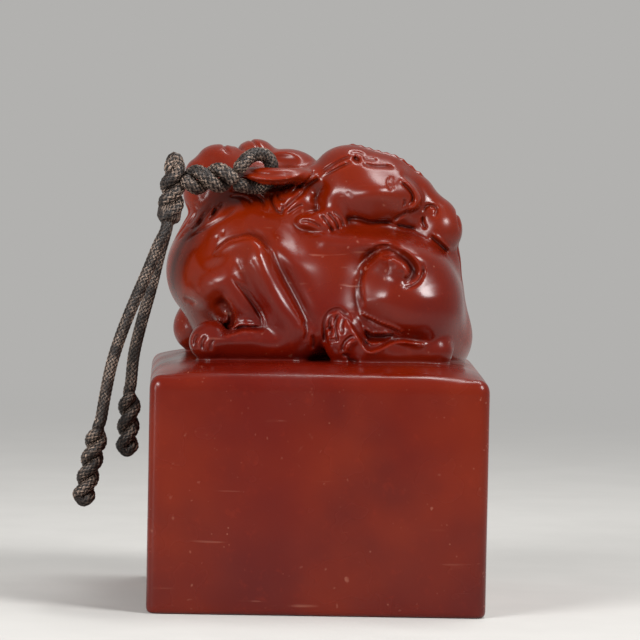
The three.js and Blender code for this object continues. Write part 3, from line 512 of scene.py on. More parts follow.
FLANK_STROKES = cut_on(View.BOTH, (
    Stroke(((-16.2, 16.9), (-15.1, 18.1), (-13.8, 19.1), (-12.5, 19.6), (-11.2, 19.9), (-10, 19.8),
            (-8.9, 19)), 0.2, 0.28, ends=0.3),
    Stroke(((-15.8, 17), (-14.8, 17.9), (-13.6, 18.7), (-12.4, 19.1), (-11.2, 19.4), (-10.1, 19.2)), 0.16,
            0.16),
    Stroke(((-10.1, 19.8), (-8.7, 18.8), (-7.6, 17.3), (-7, 16.1), (-6.1, 14.5), (-5, 12.7), (-3.7, 10.7),
            (-2.4, 8.5), (-1.6, 6.9)), 1.0, 0.55, ends=0.3),
    Stroke(((-13, 17.4), (-12.1, 15.6), (-11.1, 13.6), (-10, 11.6), (-9, 9.8), (-8.2, 8), (-8, 6.8)), 1.25,
            0.85, ends=0.1),
    Stroke(((-13.1, 13.7), (-11.7, 12.1), (-10.4, 10.4), (-9.4, 9), (-8.7, 7.7), (-8.6, 6.6)), 0.24, 0.5,
            ends=0.2),
    Stroke(((-12.3, 13.5), (-11, 12), (-9.7, 10.4), (-8.7, 9), (-8, 7.6), (-7.9, 6.5)), 0.18, 0.28),
    Stroke(((-14.2, 8.8), (-13.7, 8), (-13.8, 7.1), (-14.4, 6.7)), 0.32, -0.35),
    Stroke(((-14.5, 5.4), (-13, 5.8), (-11.5, 6.3), (-9.5, 6.3), (-8.3, 6.3)), 0.32, 0.65, ends=0.2),
    Stroke(((-14, 5), (-12.6, 5.4), (-11.2, 5.8), (-9.6, 5.8)), 0.22, -0.2),
    Stroke(((-20.3, 10.2), (-19.2, 9.9), (-18.3, 9.3)), 0.35, 0.3),
    Stroke(((-18.2, 3.2), (-18.5, 4.2), (-17.9, 5.4)), 0.24, 0.4),
    Stroke(((-17.2, 2.9), (-17.4, 4.1), (-16.8, 5.2)), 0.24, 0.4),
    Stroke(((-16, 2.8), (-16.1, 3.8), (-15.6, 4.7)), 0.24, 0.3),
    Stroke(((-2.5, 7.7), (-1.9, 6.1), (-2.2, 4.4)), 0.3, 0.3),
    Stroke(((-1.2, 5.6), (-0.9, 4.4), (-1.2, 3.2)), 0.28, 0.35),
    Stroke(((-15.4, 18.7), (-15.6, 19.2), (-15.2, 19.6)), 0.16, 0.12),
    Stroke(((-14.5, 19.6), (-14.6, 20.1), (-14.2, 20.4)), 0.16, 0.12),
    Stroke(((6.2, 14.8), (6.9, 16.3), (8.3, 17.6), (9.8, 18.1), (11.4, 17.8), (12.9, 16.9), (13.8, 15.5),
            (13.6, 14.3), (12.7, 13.8)), 0.75, 0.8, ends=0.35),
    Stroke(((10.2, 18.9), (12, 18.5), (13.6, 17.4), (14.5, 15.8), (14.3, 14.4)), 0.3, -0.15),
    Stroke(((6.6, 9.8), (6.1, 11.2), (5.9, 12.6), (6.1, 14.2), (6.7, 15.5)), 0.28, 0.5),
    Stroke(((15.2, 16.2), (15.1, 14.7), (14.3, 13.5), (12.8, 12.8), (12, 12.9)), 0.22, 0.42, ends=0.1),
    Stroke(((7.7, 18.5), (9.3, 18.8), (10.9, 18.6)), 0.18, 0.16),
    Stroke(((6.2, 8.3), (7.6, 7.7), (8.9, 7.1), (10.5, 6.5), (12.4, 5.8)), 0.3, 0.35),
    *beads(((6.4, 8.7), (7.7, 8.1), (8.9, 7.6), (10.5, 7.1), (12.1, 6.3)), 0.55, 0.2, 0.28),
    Stroke(((6.4, 5.8), (7, 4.8), (7.9, 4.3), (9.5, 4.6), (11.4, 5.3)), 0.24, -0.3),
    Stroke(((6.6, 6.4), (7.6, 5.3), (9.5, 5.3), (11.6, 5.7)), 0.22, 0.35),
    Stroke(((6.3, 7), (7.8, 6), (9.7, 6), (11.2, 6.1)), 0.22, -0.28),
    Stroke(((16.4, 4.2), (12.2, 4.7), (10.6, 4.4), (8.7, 3.4), (7.1, 3.2), (5.8, 4.9), (4.7, 6.5)), 0.25,
            -0.2),
    Stroke(((5.1, 6.7), (4.2, 8), (3.4, 8.9), (2.6, 9.3), (1.4, 8.8), (0.7, 7.5), (0.7, 5.9), (1, 4.6),
            (1.7, 3.4)), 0.3, 0.4),
    Stroke(((1.9, 8.6), (1.4, 7.3), (1.7, 6.1), (1.5, 5)), 0.22, 0.4),
    Stroke(((2.8, 8.9), (2.3, 7.3), (2.4, 5.7), (2.8, 4.4)), 0.22, 0.42),
    Stroke(((3.7, 8.2), (3.2, 6.8), (3.5, 5.6)), 0.22, 0.38),
    Stroke(((0.8, 6.6), (1.5, 6.4), (2.2, 6.7)), 0.2, 0.25),
    Stroke(((1.2, 4.9), (2.1, 4.8), (2.9, 5.2)), 0.2, 0.25),
    Stroke(((3.2, 2.8), (3.6, 4.3), (4.3, 5.1), (5.3, 5.6)), 0.26, 0.45),
    Stroke(((4, 3.4), (4.4, 4.4), (5.3, 4.9)), 0.5, -0.25, ends=0.3),
    Stroke(((3.1, 2.7), (4.2, 2.5), (4.6, 1.9), (6.1, 1.4)), 0.26, 0.4),
))

HEAD_STROKES = (
    Stroke(((-11.6, 27.8), (-10.3, 27.2), (-8.8, 26.8), (-6.2, 26.9), (-4, 27.6), (-2.6, 28.4)), 0.4, 0.55,
            ends=0.3),
    Stroke(((-12.4, 29), (-11.4, 28.7), (-9.8, 28.4), (-7.8, 28.2), (-5.5, 28.4), (-3.5, 28.9), (-2, 29.6)),
            0.28, -0.35),
    Stroke(((-11.6, 29.6), (-9.8, 29.1), (-7.8, 28.9), (-5.5, 29.1), (-3.8, 29.5)), 0.3, 0.3),
    Stroke(((-9.4, 27.6), (-8.4, 27.5), (-7.4, 27.6)), 0.2, -0.2),
    Stroke(((-19.9, 20.5), (-19, 21.9), (-18.4, 22.8)), 0.2, 0.34),
    Stroke(((-19.3, 19.9), (-18.2, 21.2), (-17.5, 22.1)), 0.18, 0.3),
    Stroke(((-18.5, 20.8), (-17.7, 22.1), (-17, 23.1)), 0.22, 0.36),
    Stroke(((-16.9, 21.5), (-16.1, 22.7), (-15.4, 24)), 0.24, 0.4),
    Stroke(((-16.3, 22), (-15.3, 23.4), (-14.5, 24.5)), 0.2, 0.35),
    Stroke(((-13.8, 25.1), (-12.3, 25.4), (-10.8, 24.9), (-10, 24)), 0.22, 0.35),
    Stroke(((-13.9, 25.9), (-11.8, 26.1), (-9.8, 25.6), (-8.6, 24.6), (-8.3, 23.3)), 0.24, 0.42),
    Stroke(((-12.8, 26.7), (-10.8, 26.7), (-8.8, 26.1), (-7.7, 24.9)), 0.2, 0.3),
    Stroke(((-7.2, 26.4), (-7.3, 24.9), (-6.7, 23.6), (-5.8, 23.1), (-5.7, 24.1), (-6.2, 24.6)), 0.22,
            0.42),
    Stroke(((-6.3, 26.3), (-6.2, 25.2), (-5.2, 24.9)), 0.2, 0.3),
    Stroke(((-5.6, 23.4), (-4.4, 24.7), (-2.9, 26), (-2.1, 26.7)), 0.24, 0.42),
    Stroke(((-5.1, 22.9), (-3.6, 24), (-2.3, 24.6)), 0.2, 0.32),
    Stroke(((-4.7, 25.7), (-3.7, 26.7), (-2.9, 27.4)), 0.2, 0.3),
    Stroke(((-3.5, 26.6), (-2.6, 27.6), (-1.6, 28.6), (-0.8, 29.5)), 0.22, 0.4),
)

CUB_STROKES = (
    Stroke(((-0.1, 29), (1.4, 30.2), (3.1, 31.2), (4.7, 31.8)), 0.2, 0.42, ends=0.2),
    Stroke(((0.3, 28.5), (1.7, 29.5), (3.4, 30.4), (4.8, 30.9)), 0.2, 0.4, ends=0.2),
    Stroke(((1.2, 29.5), (2.4, 30.3), (3.9, 31)), 0.3, -0.2),
    Stroke(((5.1, 31.4), (5.4, 31.2)), 0.38, 0.85, ends=1.0),
    Stroke(((5.9, 31), (6.8, 30.5), (8.3, 30.3), (10, 30.3), (11.1, 30)), 0.24, 0.42),
    Stroke(((6, 31.6), (7.2, 31.3), (8.6, 31.2)), 0.2, 0.25),
    Stroke(((4.2, 32.2), (5.4, 32.3), (6.6, 31.9)), 0.2, 0.2),
    Stroke(((-3, 26.2), (-2.1, 27.1), (-1.1, 27.9), (-0.1, 28.4)), 0.22, 0.35),
    Stroke(((0.8, 27.9), (0.2, 26.8), (-0.6, 25.6), (-1.3, 24.3)), 0.5, 0.25),
    Stroke(((3.7, 26.6), (4.3, 26.1), (4.5, 25.5)), 0.22, 0.1),
    Stroke(((-0.1, 23.2), (0.8, 22.2), (1.5, 21.2), (2.1, 20.3)), 0.22, 0.5),
    Stroke(((0.8, 23.6), (1.8, 22.6), (2.4, 21.7), (2.7, 20.5)), 0.22, 0.5),
    Stroke(((1.6, 23.7), (2.7, 22.8), (3.2, 22), (3.4, 21)), 0.22, 0.4),
    Stroke(((-3.3, 21.9), (-2.2, 22.1), (-0.8, 21.7), (0.3, 21)), 0.2, 0.35),
    Stroke(((3.5, 22.4), (5.3, 22.6), (7.6, 22), (9.6, 22.1), (11.4, 21.8)), 0.35, 0.5),
    Stroke(((10.7, 22.2), (11.5, 22.8), (12.5, 23.4), (12.9, 23.9)), 0.26, 0.4),
    Stroke(((11.2, 21.6), (12.8, 21.3), (14.5, 21)), 0.22, 0.35),
    Stroke(((11.6, 28.8), (13, 27.8), (14, 26.6), (14.3, 25.3), (13.6, 24.4), (12.7, 24.5)), 0.36, -0.4),
    Stroke(((11.7, 28.4), (13, 27.2), (13.7, 26.2), (13.6, 25.2), (12.9, 24.8)), 0.2, 0.42),
    Stroke(((12.4, 25.6), (12.5, 24.9), (12.2, 24.5)), 0.18, 0.35, ends=0.3),
    Stroke(((10.3, 29.1), (9.9, 28.2), (10.1, 27.4), (10.7, 26.8)), 0.17, 0.2),
    Stroke(((10.8, 29), (10.5, 28.3), (10.6, 27.6), (11.1, 27.1)), 0.15, 0.15),
    Stroke(((15.5, 23.4), (15.7, 24.3), (16.6, 24.6), (17.4, 24.1), (17.3, 23.3), (16.6, 22.9)), 0.22,
            0.38),
    Stroke(((15.4, 23.1), (15.4, 22.1), (15.9, 21)), 0.26, 0.42),
    Stroke(((16.3, 20.2), (17.8, 19), (19.5, 17.4)), 0.25, 0.5),
    Stroke(((16.7, 20.7), (18.2, 19.5), (19.9, 17.9)), 0.2, -0.25),
)

FACE_STROKES = cut_on(View.FAR, (
    Stroke(((-17.3, 28.1), (-16.6, 29.8), (-15, 30.3), (-13.6, 29.3)), 0.24, 0.4),
    Stroke(((-16.9, 27.5), (-15.5, 26.9), (-14, 27.3)), 0.2, 0.25),
    Stroke(((-15.6, 28.4), (-15.3, 28.4)), 0.32, 0.35, ends=1.0),
    Stroke(((-7.5, 28.2), (-8.2, 29.9), (-9.8, 30.4), (-11.2, 29.4)), 0.24, 0.4),
    Stroke(((-7.9, 27.6), (-9.3, 27), (-10.8, 27.4)), 0.2, 0.25),
    Stroke(((-9.6, 28.5), (-9.3, 28.5)), 0.32, 0.35, ends=1.0),
    Stroke(((-14.4, 26.5), (-14.1, 27), (-13.5, 26.8)), 0.28, 0.5, ends=0.3),
    Stroke(((-11.4, 26.5), (-11.7, 27), (-12.3, 26.8)), 0.28, 0.5, ends=0.3),
    Stroke(((-12.9, 25.5), (-12.9, 24.4), (-12.8, 23.5)), 0.2, 0.3),
    Stroke(((-17.2, 24.9), (-15.8, 23.9), (-14.3, 23.7), (-12.8, 24), (-11.3, 23.7), (-9.8, 23.9),
            (-8.4, 24.9)), 0.22, 0.3),
    *beads(((-16.6, 25.6), (-15.6, 25), (-14.6, 24.8)), 0.7, 0.16, -0.18),
    *beads(((-9, 25.6), (-10, 25), (-11, 24.8)), 0.7, 0.16, -0.18),
    Stroke(((-18.4, 29.4), (-18, 31.2), (-16.6, 32.3)), 0.24, 0.3),
    Stroke(((-6.8, 29.8), (-7, 31.6), (-8.2, 32.7)), 0.24, 0.3),
    Stroke(((-7.2, 27.4), (-6.2, 26.2), (-6, 24.4), (-7, 22.9), (-8.2, 22.4)), 0.26, 0.42),
    Stroke(((-5.2, 27.8), (-4.2, 26), (-4.2, 23.9), (-5.4, 22.2), (-6.8, 21.6)), 0.26, 0.42),
    Stroke(((-3.2, 27.6), (-2.2, 25.6), (-2.3, 23.4), (-3.6, 21.8), (-4.8, 21.2)), 0.26, 0.42),
    Stroke(((-6, 27.6), (-5.1, 26), (-5.1, 24.1), (-6.1, 22.7)), 0.18, 0.22),
    Stroke(((-4.1, 27.6), (-3.2, 25.8), (-3.2, 23.8), (-4.4, 22.2)), 0.18, 0.22),
    Stroke(((-20.6, 25.6), (-19.4, 23.6), (-17.6, 21.9), (-15.6, 20.7)), 0.24, 0.35),
    Stroke(((-21, 23.8), (-19.8, 21.9), (-18, 20.3)), 0.24, 0.35),
))

CHEST_STROKES = cut_on(View.CHEST, (
    Stroke(((y, 24.4), (y - 0.9, 22.4), (y - 0.4, 20.6), (y + 0.6, 19.3), (y + 0.5, 18.3)), 0.26, 0.4)
    for y in (-7.0, -4.6, -2.2, 0.2, 2.6)
))

TAIL_STROKES = cut_on(View.TAIL, (
    Stroke(((-0.2, 12.4), (0.2, 15), (-0.6, 17.6), (-2, 19.6)), 0.26, 0.4),
    Stroke(((-1.6, 11.8), (-1.4, 14.6), (-2.2, 17.6), (-3.6, 20)), 0.26, 0.45),
    Stroke(((-3.1, 12.6), (-3, 15), (-3.8, 17.8), (-5, 20.2)), 0.26, 0.4),
    Stroke(((-6.2, 20.6), (-5.6, 22.4), (-4, 23.4), (-2.6, 22.6), (-2.6, 21.2), (-3.8, 20.8)), 0.24, 0.38),
    Stroke(((0.4, 1.6), (0.5, 4.4), (0.2, 7.4), (-0.4, 10)), 0.7, 0.55, ends=0.2),
))

CROWN_STROKES = cut_on(View.CROWN, (
    Stroke(((4.2, -1.6), (7.4, -1.5), (10.6, -1.6), (13.6, -2.2), (16, -3)), 0.22, 0.28),
    Stroke(((4.2, -3), (7.4, -3), (10.6, -3.1), (13.6, -3.4), (15.8, -3.9)), 0.22, 0.28),
    *beads(((4.8, -2.3), (8, -2.2), (11.4, -2.4), (15, -3.1)), 1.25, 0.4, 0.22),
    Stroke(((-12.4, 6.4), (-12.5, 4), (-12.2, 1.4), (-11.2, -1)), 0.26, 0.35),
    Stroke(((-13.9, 6), (-14.4, 3.6), (-14.4, 1), (-13.6, -1.4)), 0.24, 0.32),
    Stroke(((-11, 6.2), (-10.6, 3.8), (-10, 1.4), (-8.8, -0.8)), 0.24, 0.32),
    Stroke(((-7.4, 4.4), (-5.6, 3.2), (-3.8, 2.8), (-2, 3.2)), 0.24, 0.35),
    Stroke(((-7.4, 2.8), (-5.4, 1.6), (-3.6, 1.2), (-1.8, 1.4)), 0.24, 0.35),
    Stroke(((-8.8, -4), (-7, -4.6), (-5, -4.9), (-3, -4.6)), 0.2, 0.22),
))

FANGS = (
    Limb((-15, 13.3, 23.4), (-15, 13.5, 21.9), (0.5, 0.22), 0.12),
    Limb((-10.2, 13.4, 23.4), (-10.2, 13.6, 21.9), (0.5, 0.22), 0.12),
)


class SideMap:
    """Depth of the marks on one side of the stone, drawn on a flat grid.

    Attributes:
        SWELL_REACH: How far a swelling is felt, as a share of its half size.
        STROKE_REACH: How far a stroke is felt, as a share of its half width.
        STROKE_FADE: Share of a stroke's length over which each end fades.
        LEDGE_REACH: How far a ledge is felt, as a share of its own reach.
        LEDGE_FADE: Share of a ledge's length over which each end fades.
    """

    SWELL_REACH = 2.6
    STROKE_REACH = 3
    STROKE_FADE = 0.22
    LEDGE_REACH = 2.2
    LEDGE_FADE = 0.17

    def __init__(self, across: np.ndarray, up: np.ndarray) -> None:
        """Starts a map with nothing cut.

        Args:
            across: Places of the grid's lines across the side.
            up: Places of the grid's lines up the side.
        """
        self.across = across
        self.up = up
        self.depth = np.zeros((len(across), len(up)), np.float32)

    def window(self, low: np.ndarray, high: np.ndarray) -> tuple[slice, slice]:
        """Part of the grid between two corners."""
        pairs = ((self.across, low[0], high[0]), (self.up, low[1], high[1]))
        return tuple(slice(*np.searchsorted(lines, (first, last))) for lines, first, last in pairs)

    def nearest(self, points: tuple[Point, ...],
                margin: float) -> tuple[tuple[slice, slice], np.ndarray, np.ndarray, np.ndarray]:
        """How the grid's places lie to a curved line.

        Args:
            points: Points that the line passes through.
            margin: Distance from the line beyond which nothing is needed.

        Returns:
            The part of the grid, the distances, the side of the line and the share along it.
        """
        line = smooth_line(np.array(points, float), LINE_STEP)
        part = self.window(line.min(0) - margin, line.max(0) + margin)
        u = self.across[part[0]][:, None]
        v = self.up[part[1]][None, :]
        shape = (u.shape[0], v.shape[1])
        gap, side, along = np.full(shape, OUT_OF_REACH), np.ones(shape), np.zeros(shape)
        for i in range(len(line) - 1):
            start, run = line[i], line[i + 1] - line[i]
            pu, pv = u - start[0], v - start[1]
            t = np.clip((pu * run[0] + pv * run[1]) / float(run @ run), 0, 1)
            off = (pu - t * run[0]) ** 2 + (pv - t * run[1]) ** 2
            closer = off < gap
            gap = np.where(closer, off, gap)
            side = np.where(closer, np.sign(run[0] * pv - run[1] * pu), side)
            along = np.where(closer, (i + t) / (len(line) - 1), along)
        return part, np.sqrt(gap), side, along

    def swell(self, mark: Swell) -> None:
        """Raises one swelling, or sinks one hollow.

        Args:
            mark: The swelling.
        """
        at, reach = np.array(mark.at), self.SWELL_REACH * max(mark.half)
        part = self.window(at - reach, at + reach)
        u = self.across[part[0]][:, None] - at[0]
        v = self.up[part[1]][None, :] - at[1]
        along, aside = turned(u, v, mark.turn)
        self.depth[part] -= mark.rise * np.exp(-(along / mark.half[0]) ** 2 - (aside / mark.half[1]) ** 2)

    def stroke(self, mark: Stroke) -> None:
        """Cuts one stroke.

        Args:
            mark: The stroke.
        """
        part, gap, _, along = self.nearest(mark.points, self.STROKE_REACH * mark.width)
        whole = smooth_step(np.minimum(along, 1 - along), 0, self.STROKE_FADE)
        fade = mark.ends + (1 - mark.ends) * whole
        self.depth[part] += mark.depth * fade * np.exp(-(gap / mark.width) ** 2)

    def ledge(self, mark: Ledge) -> None:
        """Cuts one ledge.

        Args:
            mark: The ledge.
        """
        reach = self.LEDGE_REACH * max(mark.proud_reach, mark.cut_reach)
        part, gap, side, along = self.nearest(mark.points, reach)
        fade = smooth_step(np.minimum(along, 1 - along), 0, self.LEDGE_FADE)
        proud = 0.5 + 0.5 * np.tanh(side * gap / mark.soft)
        cut = (1 - proud) * mark.drop * np.exp(-(gap / mark.cut_reach) ** 2)
        self.depth[part] += fade * (cut - proud * mark.rise * np.exp(-(gap / mark.proud_reach) ** 2))

    def draw(self, mark: Stroke | Swell | Ledge) -> None:
        """Cuts one mark into the map, in the way that its kind asks for."""
        {Swell: self.swell, Stroke: self.stroke, Ledge: self.ledge}[type(mark)](mark)


@dataclass
class Field:
    """Signed distance to the stone, sampled on an even grid in millimetres.

    Attributes:
        low: Lowest corner of the grid.
        high: Highest corner of the grid.
        step: Distance between the grid's places.
        lines: The grid's places along X, Y and the height.
        values: The distances, less than nothing inside the stone.
    """

    low: Place
    high: Place
    step: float
    lines: list[np.ndarray] = field(init=False)
    values: np.ndarray = field(init=False)

    def __post_init__(self) -> None:
        """Lays out the grid, with no stone on it yet."""
        self.lines = [
            (a + self.step * np.arange(round((b - a) / self.step) + 1)).astype(np.float32)
            for a, b in zip(self.low, self.high)
        ]
        self.values = np.full([len(line) for line in self.lines], OPEN_AIR, np.float32)

    def places(self) -> list[np.ndarray]:
        """X, Y and heights of the whole grid, ready to broadcast."""
        return self.part((np.array(self.low) - 1, np.array(self.high) + 1))[1]

    def part(self, box: tuple[np.ndarray, np.ndarray]) -> tuple[tuple, list[np.ndarray]]:
        """Part of the grid inside a box.

        Args:
            box: The box's lowest and highest corner.

        Returns:
            The slices of the part, and its X, Y and heights, ready to broadcast.
        """
        cuts = tuple(slice(*np.searchsorted(line, ends)) for line, ends in zip(self.lines, zip(*box)))
        x, y, z = (line[cut] for line, cut in zip(self.lines, cuts))
        return cuts, [x[:, None, None], y[None, :, None], z[None, None, :]]

    def blend(self, shape: Mass | Limb, rule: Callable[..., np.ndarray]) -> None:
        """Blends a mass or a limb with what is there: smooth_union joins it, and smooth_cut cuts it out.

        Args:
            shape: The mass or limb.
            rule: The way that two distances are blended.
        """
        cuts, places = self.part(shape.box(JOIN_REACH * shape.join + JOIN_MARGIN))
        self.values[cuts] = rule(self.values[cuts], shape.distance(*places), shape.join)

    def sample(self, points: np.ndarray, values: np.ndarray) -> tuple[np.ndarray, np.ndarray]:
        """Reads a grid between its places.

        Args:
            points: Places to read, one a row.
            values: The grid's values, in its shape.

        Returns:
            The value and the slope at each place.
        """
        spot = (points - np.array(self.low)) / self.step
        cell = np.clip(np.floor(spot).astype(int), 0, np.array(values.shape) - 2)
        t = (spot - cell).astype(np.float32)
        flat = values.reshape(-1)
        strides = np.array([values.shape[1] * values.shape[2], values.shape[2], 1])
        base = cell @ strides
        shifts = [(k & 1) * strides[0] + (k >> 1 & 1) * strides[1] + (k >> 2) * strides[2] for k in range(8)]
        c = [flat[base + shift] for shift in shifts]
        tx, ty, tz = t[:, 0], t[:, 1], t[:, 2]
        x00, x10 = c[0] + (c[1] - c[0]) * tx, c[2] + (c[3] - c[2]) * tx
        x01, x11 = c[4] + (c[5] - c[4]) * tx, c[6] + (c[7] - c[6]) * tx
        y0, y1 = x00 + (x10 - x00) * ty, x01 + (x11 - x01) * ty
        slope_x = ((c[1] - c[0]) * (1 - ty) + (c[3] - c[2]) * ty) * (1 - tz)
        slope_x += ((c[5] - c[4]) * (1 - ty) + (c[7] - c[6]) * ty) * tz
        slope_y = (x10 - x00) * (1 - tz) + (x11 - x01) * tz
        slope = np.stack([slope_x, slope_y, y1 - y0], 1) / self.step
        return y0 + (y1 - y0) * tz, slope

    def surface(self) -> tuple[np.ndarray, np.ndarray, np.ndarray]:
        """Draws the surface through the grid, one point in each cell that it passes through.

        Returns:
            The points, the four corners of each face, and each point's cell.
        """
        values = self.values
        inside = values < 0
        count = sum(
            inside[i:i - 1 or None, j:j - 1 or None, k:k - 1 or None].astype(np.int8)
            for i in (0, 1) for j in (0, 1) for k in (0, 1)
        )
        mixed = (count > 0) & (count < 8)
        number = np.full(mixed.shape, -1, np.int64)
        cells = np.argwhere(mixed)
        number[mixed] = np.arange(len(cells))
        total = np.zeros((len(cells), 3))
        crossings = np.zeros(len(cells))
        for axis in range(3):
            for one in (0, 1):
                for two in (0, 1):
                    corner = np.insert([one, two], axis, 0)
                    start = cells + corner
                    a = values[tuple(start.T)]
                    start[:, axis] += 1
                    b = values[tuple(start.T)]
                    crossed = (a < 0) != (b < 0)
                    place = np.tile(corner.astype(float), (len(cells), 1))
                    place[:, axis] = a / np.where(crossed, a - b, 1)
                    total[crossed] += place[crossed]
                    crossings[crossed] += 1
        points = np.array(self.low) + (cells + total / crossings[:, None]) * self.step
        faces = [self.faces_across(inside, number, axis) for axis in range(3)]
        return points, np.vstack(faces), cells

    @staticmethod
    def faces_across(inside: np.ndarray, number: np.ndarray, axis: int) -> np.ndarray:
        """Faces that the grid's edges along one axis pass through.

        Args:
            inside: Which places of the grid are in the stone.
            number: Number of the point in each cell.
            axis: The axis.

        Returns:
            The four corners of each face, turned so that the face looks out of the stone.
        """
        grid = np.moveaxis(inside, axis, 0)
        cell = np.moveaxis(number, axis, 0)
        changed = (grid[:-1] != grid[1:])[:, 1:-1, 1:-1]
        i, j, k = np.nonzero(changed)
        corners = np.stack([cell[i, j, k], cell[i, j + 1, k], cell[i, j + 1, k + 1], cell[i, j, k + 1]], 1)
        outward = grid[i, j + 1, k + 1] != (axis == 1)
        return np.where(outward[:, None], corners, corners[:, ::-1])


def box_blur(values: np.ndarray, reach: int) -> np.ndarray:
    """Mean of the values round each place of a grid.

    Args:
        values: The grid's values.
        reach: How many places each way the mean takes in.

    Returns:
        The means, in the grid's shape.
    """
    for axis in range(3):
        pad = [(0, 0)] * 3
        pad[axis] = (reach + 1, reach)
        total = np.cumsum(np.pad(values, pad, mode="edge"), axis=axis, dtype=np.float32)
        size = values.shape[axis]
        ahead = np.take(total, np.arange(2 * reach + 1, 2 * reach + 1 + size), axis=axis)
        values = (ahead - np.take(total, np.arange(size), axis=axis)) / (2 * reach + 1)
    return values


# Meshes and node trees

def in_frame(points: np.ndarray) -> np.ndarray:
    """Points in the frame, in metres, from points in millimetres with heights above the rim."""
    return (np.asarray(points) + (0, 0, BLOCK.height)) * MM


def linked(name: str, data: bpy.types.ID) -> bpy.types.Object:
    """Puts a mesh, lamp or camera into the scene.

    Args:
        name: Name of its object.
        data: The mesh, lamp or camera.

    Returns:
        The object.
    """
    obj = bpy.data.objects.new(name, data)
    bpy.context.scene.collection.objects.link(obj)
    return obj


def mesh_object(name: str, points: np.ndarray, faces: list | np.ndarray) -> bpy.types.Object:
    """Makes a smooth mesh object from points in millimetres.

    Args:
        name: Name of the piece.
        points: The points, X, Y and height above the rim.
        faces: The corners of each face.

    Returns:
        The object, linked to the scene.
    """
    mesh = bpy.data.meshes.new(name)
    mesh.from_pydata(in_frame(points).tolist(), [], [list(face) for face in faces])
    mesh.shade_smooth()
    return linked(name, mesh)


def set_attribute(obj: bpy.types.Object, name: str, values: np.ndarray) -> None:
    """Stores one number, or three, for each point of a mesh.

    Args:
        obj: The mesh's object.
        name: Name that a material reads them by.
        values: The numbers, one point a row.
    """
    kind, key = ("FLOAT", "value") if values.ndim == 1 else ("FLOAT_VECTOR", "vector")
    attribute = obj.data.attributes.new(name, kind, "POINT")
    attribute.data.foreach_set(key, values.astype(np.float32).ravel())


class Nodes:
    """Short ways to build a node tree."""

    def __init__(self, tree: bpy.types.NodeTree) -> None:
        """Starts on an emptied tree."""
        self.tree = tree
        tree.nodes.clear()

    def add(self, kind: str, inputs: dict | None = None, **settings: object) -> bpy.types.Node:
        """Adds a node.

        Args:
            kind: Blender's name of the node's type.
            inputs: A value, or the socket that feeds it, for each input by name or number.
            settings: The node's own settings.

        Returns:
            The node.
        """
        node = self.tree.nodes.new(kind)
        for key, value in settings.items():
            setattr(node, key, value)
        for key, value in (inputs or {}).items():
            if isinstance(value, bpy.types.NodeSocket):
                self.tree.links.new(value, node.inputs[key])
            else:
                node.inputs[key].default_value = value
        return node

    def noise(self, place: bpy.types.NodeSocket, scale: float, detail: float = 3.0,
              roughness: float = 0.55) -> bpy.types.NodeSocket:
        """Adds a noise of a given scale, per metre, and returns its value."""
        inputs = {"Vector": place, "Scale": scale, "Detail": detail, "Roughness": roughness}
        return self.add("ShaderNodeTexNoise", inputs).outputs["Fac"]

    def mask(self, value: bpy.types.NodeSocket, low: float, high: float, start: float = 0.0,
             end: float = 1.0) -> bpy.types.NodeSocket:
        """Takes a value from one range to another with soft ends, and returns the result."""
        inputs = {"Value": value, "From Min": low, "From Max": high, "To Min": start, "To Max": end}
        return self.add("ShaderNodeMapRange", inputs, interpolation_type="SMOOTHSTEP").outputs["Result"]

    def math(self, operation: str, a: object, b: object = 0.0) -> bpy.types.NodeSocket:
        """Adds a sum of two values and returns its result."""
        return self.add("ShaderNodeMath", {0: a, 1: b}, operation=operation).outputs[0]

    def mix(self, share: object, a: object, b: object, blend: str = "MIX") -> bpy.types.NodeSocket:
        """Mixes two colours and returns the result."""
        inputs = {"Factor": share, 6: a, 7: b}
        return self.add("ShaderNodeMix", inputs, data_type="RGBA", blend_type=blend).outputs[2]

    def attribute(self, name: str, output: str = "Fac") -> bpy.types.NodeSocket:
        """Reads a value stored on the mesh."""
        node = self.add("ShaderNodeAttribute", attribute_name=name, attribute_type="GEOMETRY")
        return node.outputs[output]


class NodeGroup(Nodes):
    """A shader node group with named sockets."""

    def __init__(self, name: str, inputs: dict[str, tuple[str, object]], outputs: dict[str, str]) -> None:
        """Makes the group's sockets.

        Args:
            name: Name of the group.
            inputs: Socket type and default value of each input.
            outputs: Socket type of each output.
        """
        tree = bpy.data.node_groups.new(name, "ShaderNodeTree")
        super().__init__(tree)
        for label, (kind, value) in inputs.items():
            socket = tree.interface.new_socket(label, in_out="INPUT", socket_type=kind)
            if value is not None:
                socket.default_value = value
        for label, kind in outputs.items():
            tree.interface.new_socket(label, in_out="OUTPUT", socket_type=kind)
        self.inputs = self.add("NodeGroupInput").outputs
        self.outputs = self.add("NodeGroupOutput").inputs

    def put(self, label: str, socket: bpy.types.NodeSocket) -> None:
        """Feeds one of the group's outputs."""
        self.tree.links.new(socket, self.outputs[label])


def srgb(red: int, green: int, blue: int) -> Colour:
    """Colour from its red, green and blue shares of 255, as they look on a screen.

    Args:
        red: Red share.
        green: Green share.
        blue: Blue share.

    Returns:
        The colour as Blender's sockets take it.
    """
    shares = [value / 255 for value in (red, green, blue)]
    linear = [v / 12.92 if v <= 0.04045 else ((v + 0.055) / 1.055) ** 2.4 for v in shares]
    return (*linear, 1.0)


def new_material(name: str) -> tuple[bpy.types.Material, Nodes]:
    """Makes an empty node material.

    Args:
        name: Name of the material.

    Returns:
        The material and its tree's builder.
    """
    material = bpy.data.materials.new(name)
    material.use_nodes = True
    return material, Nodes(material.node_tree)


# Finishes

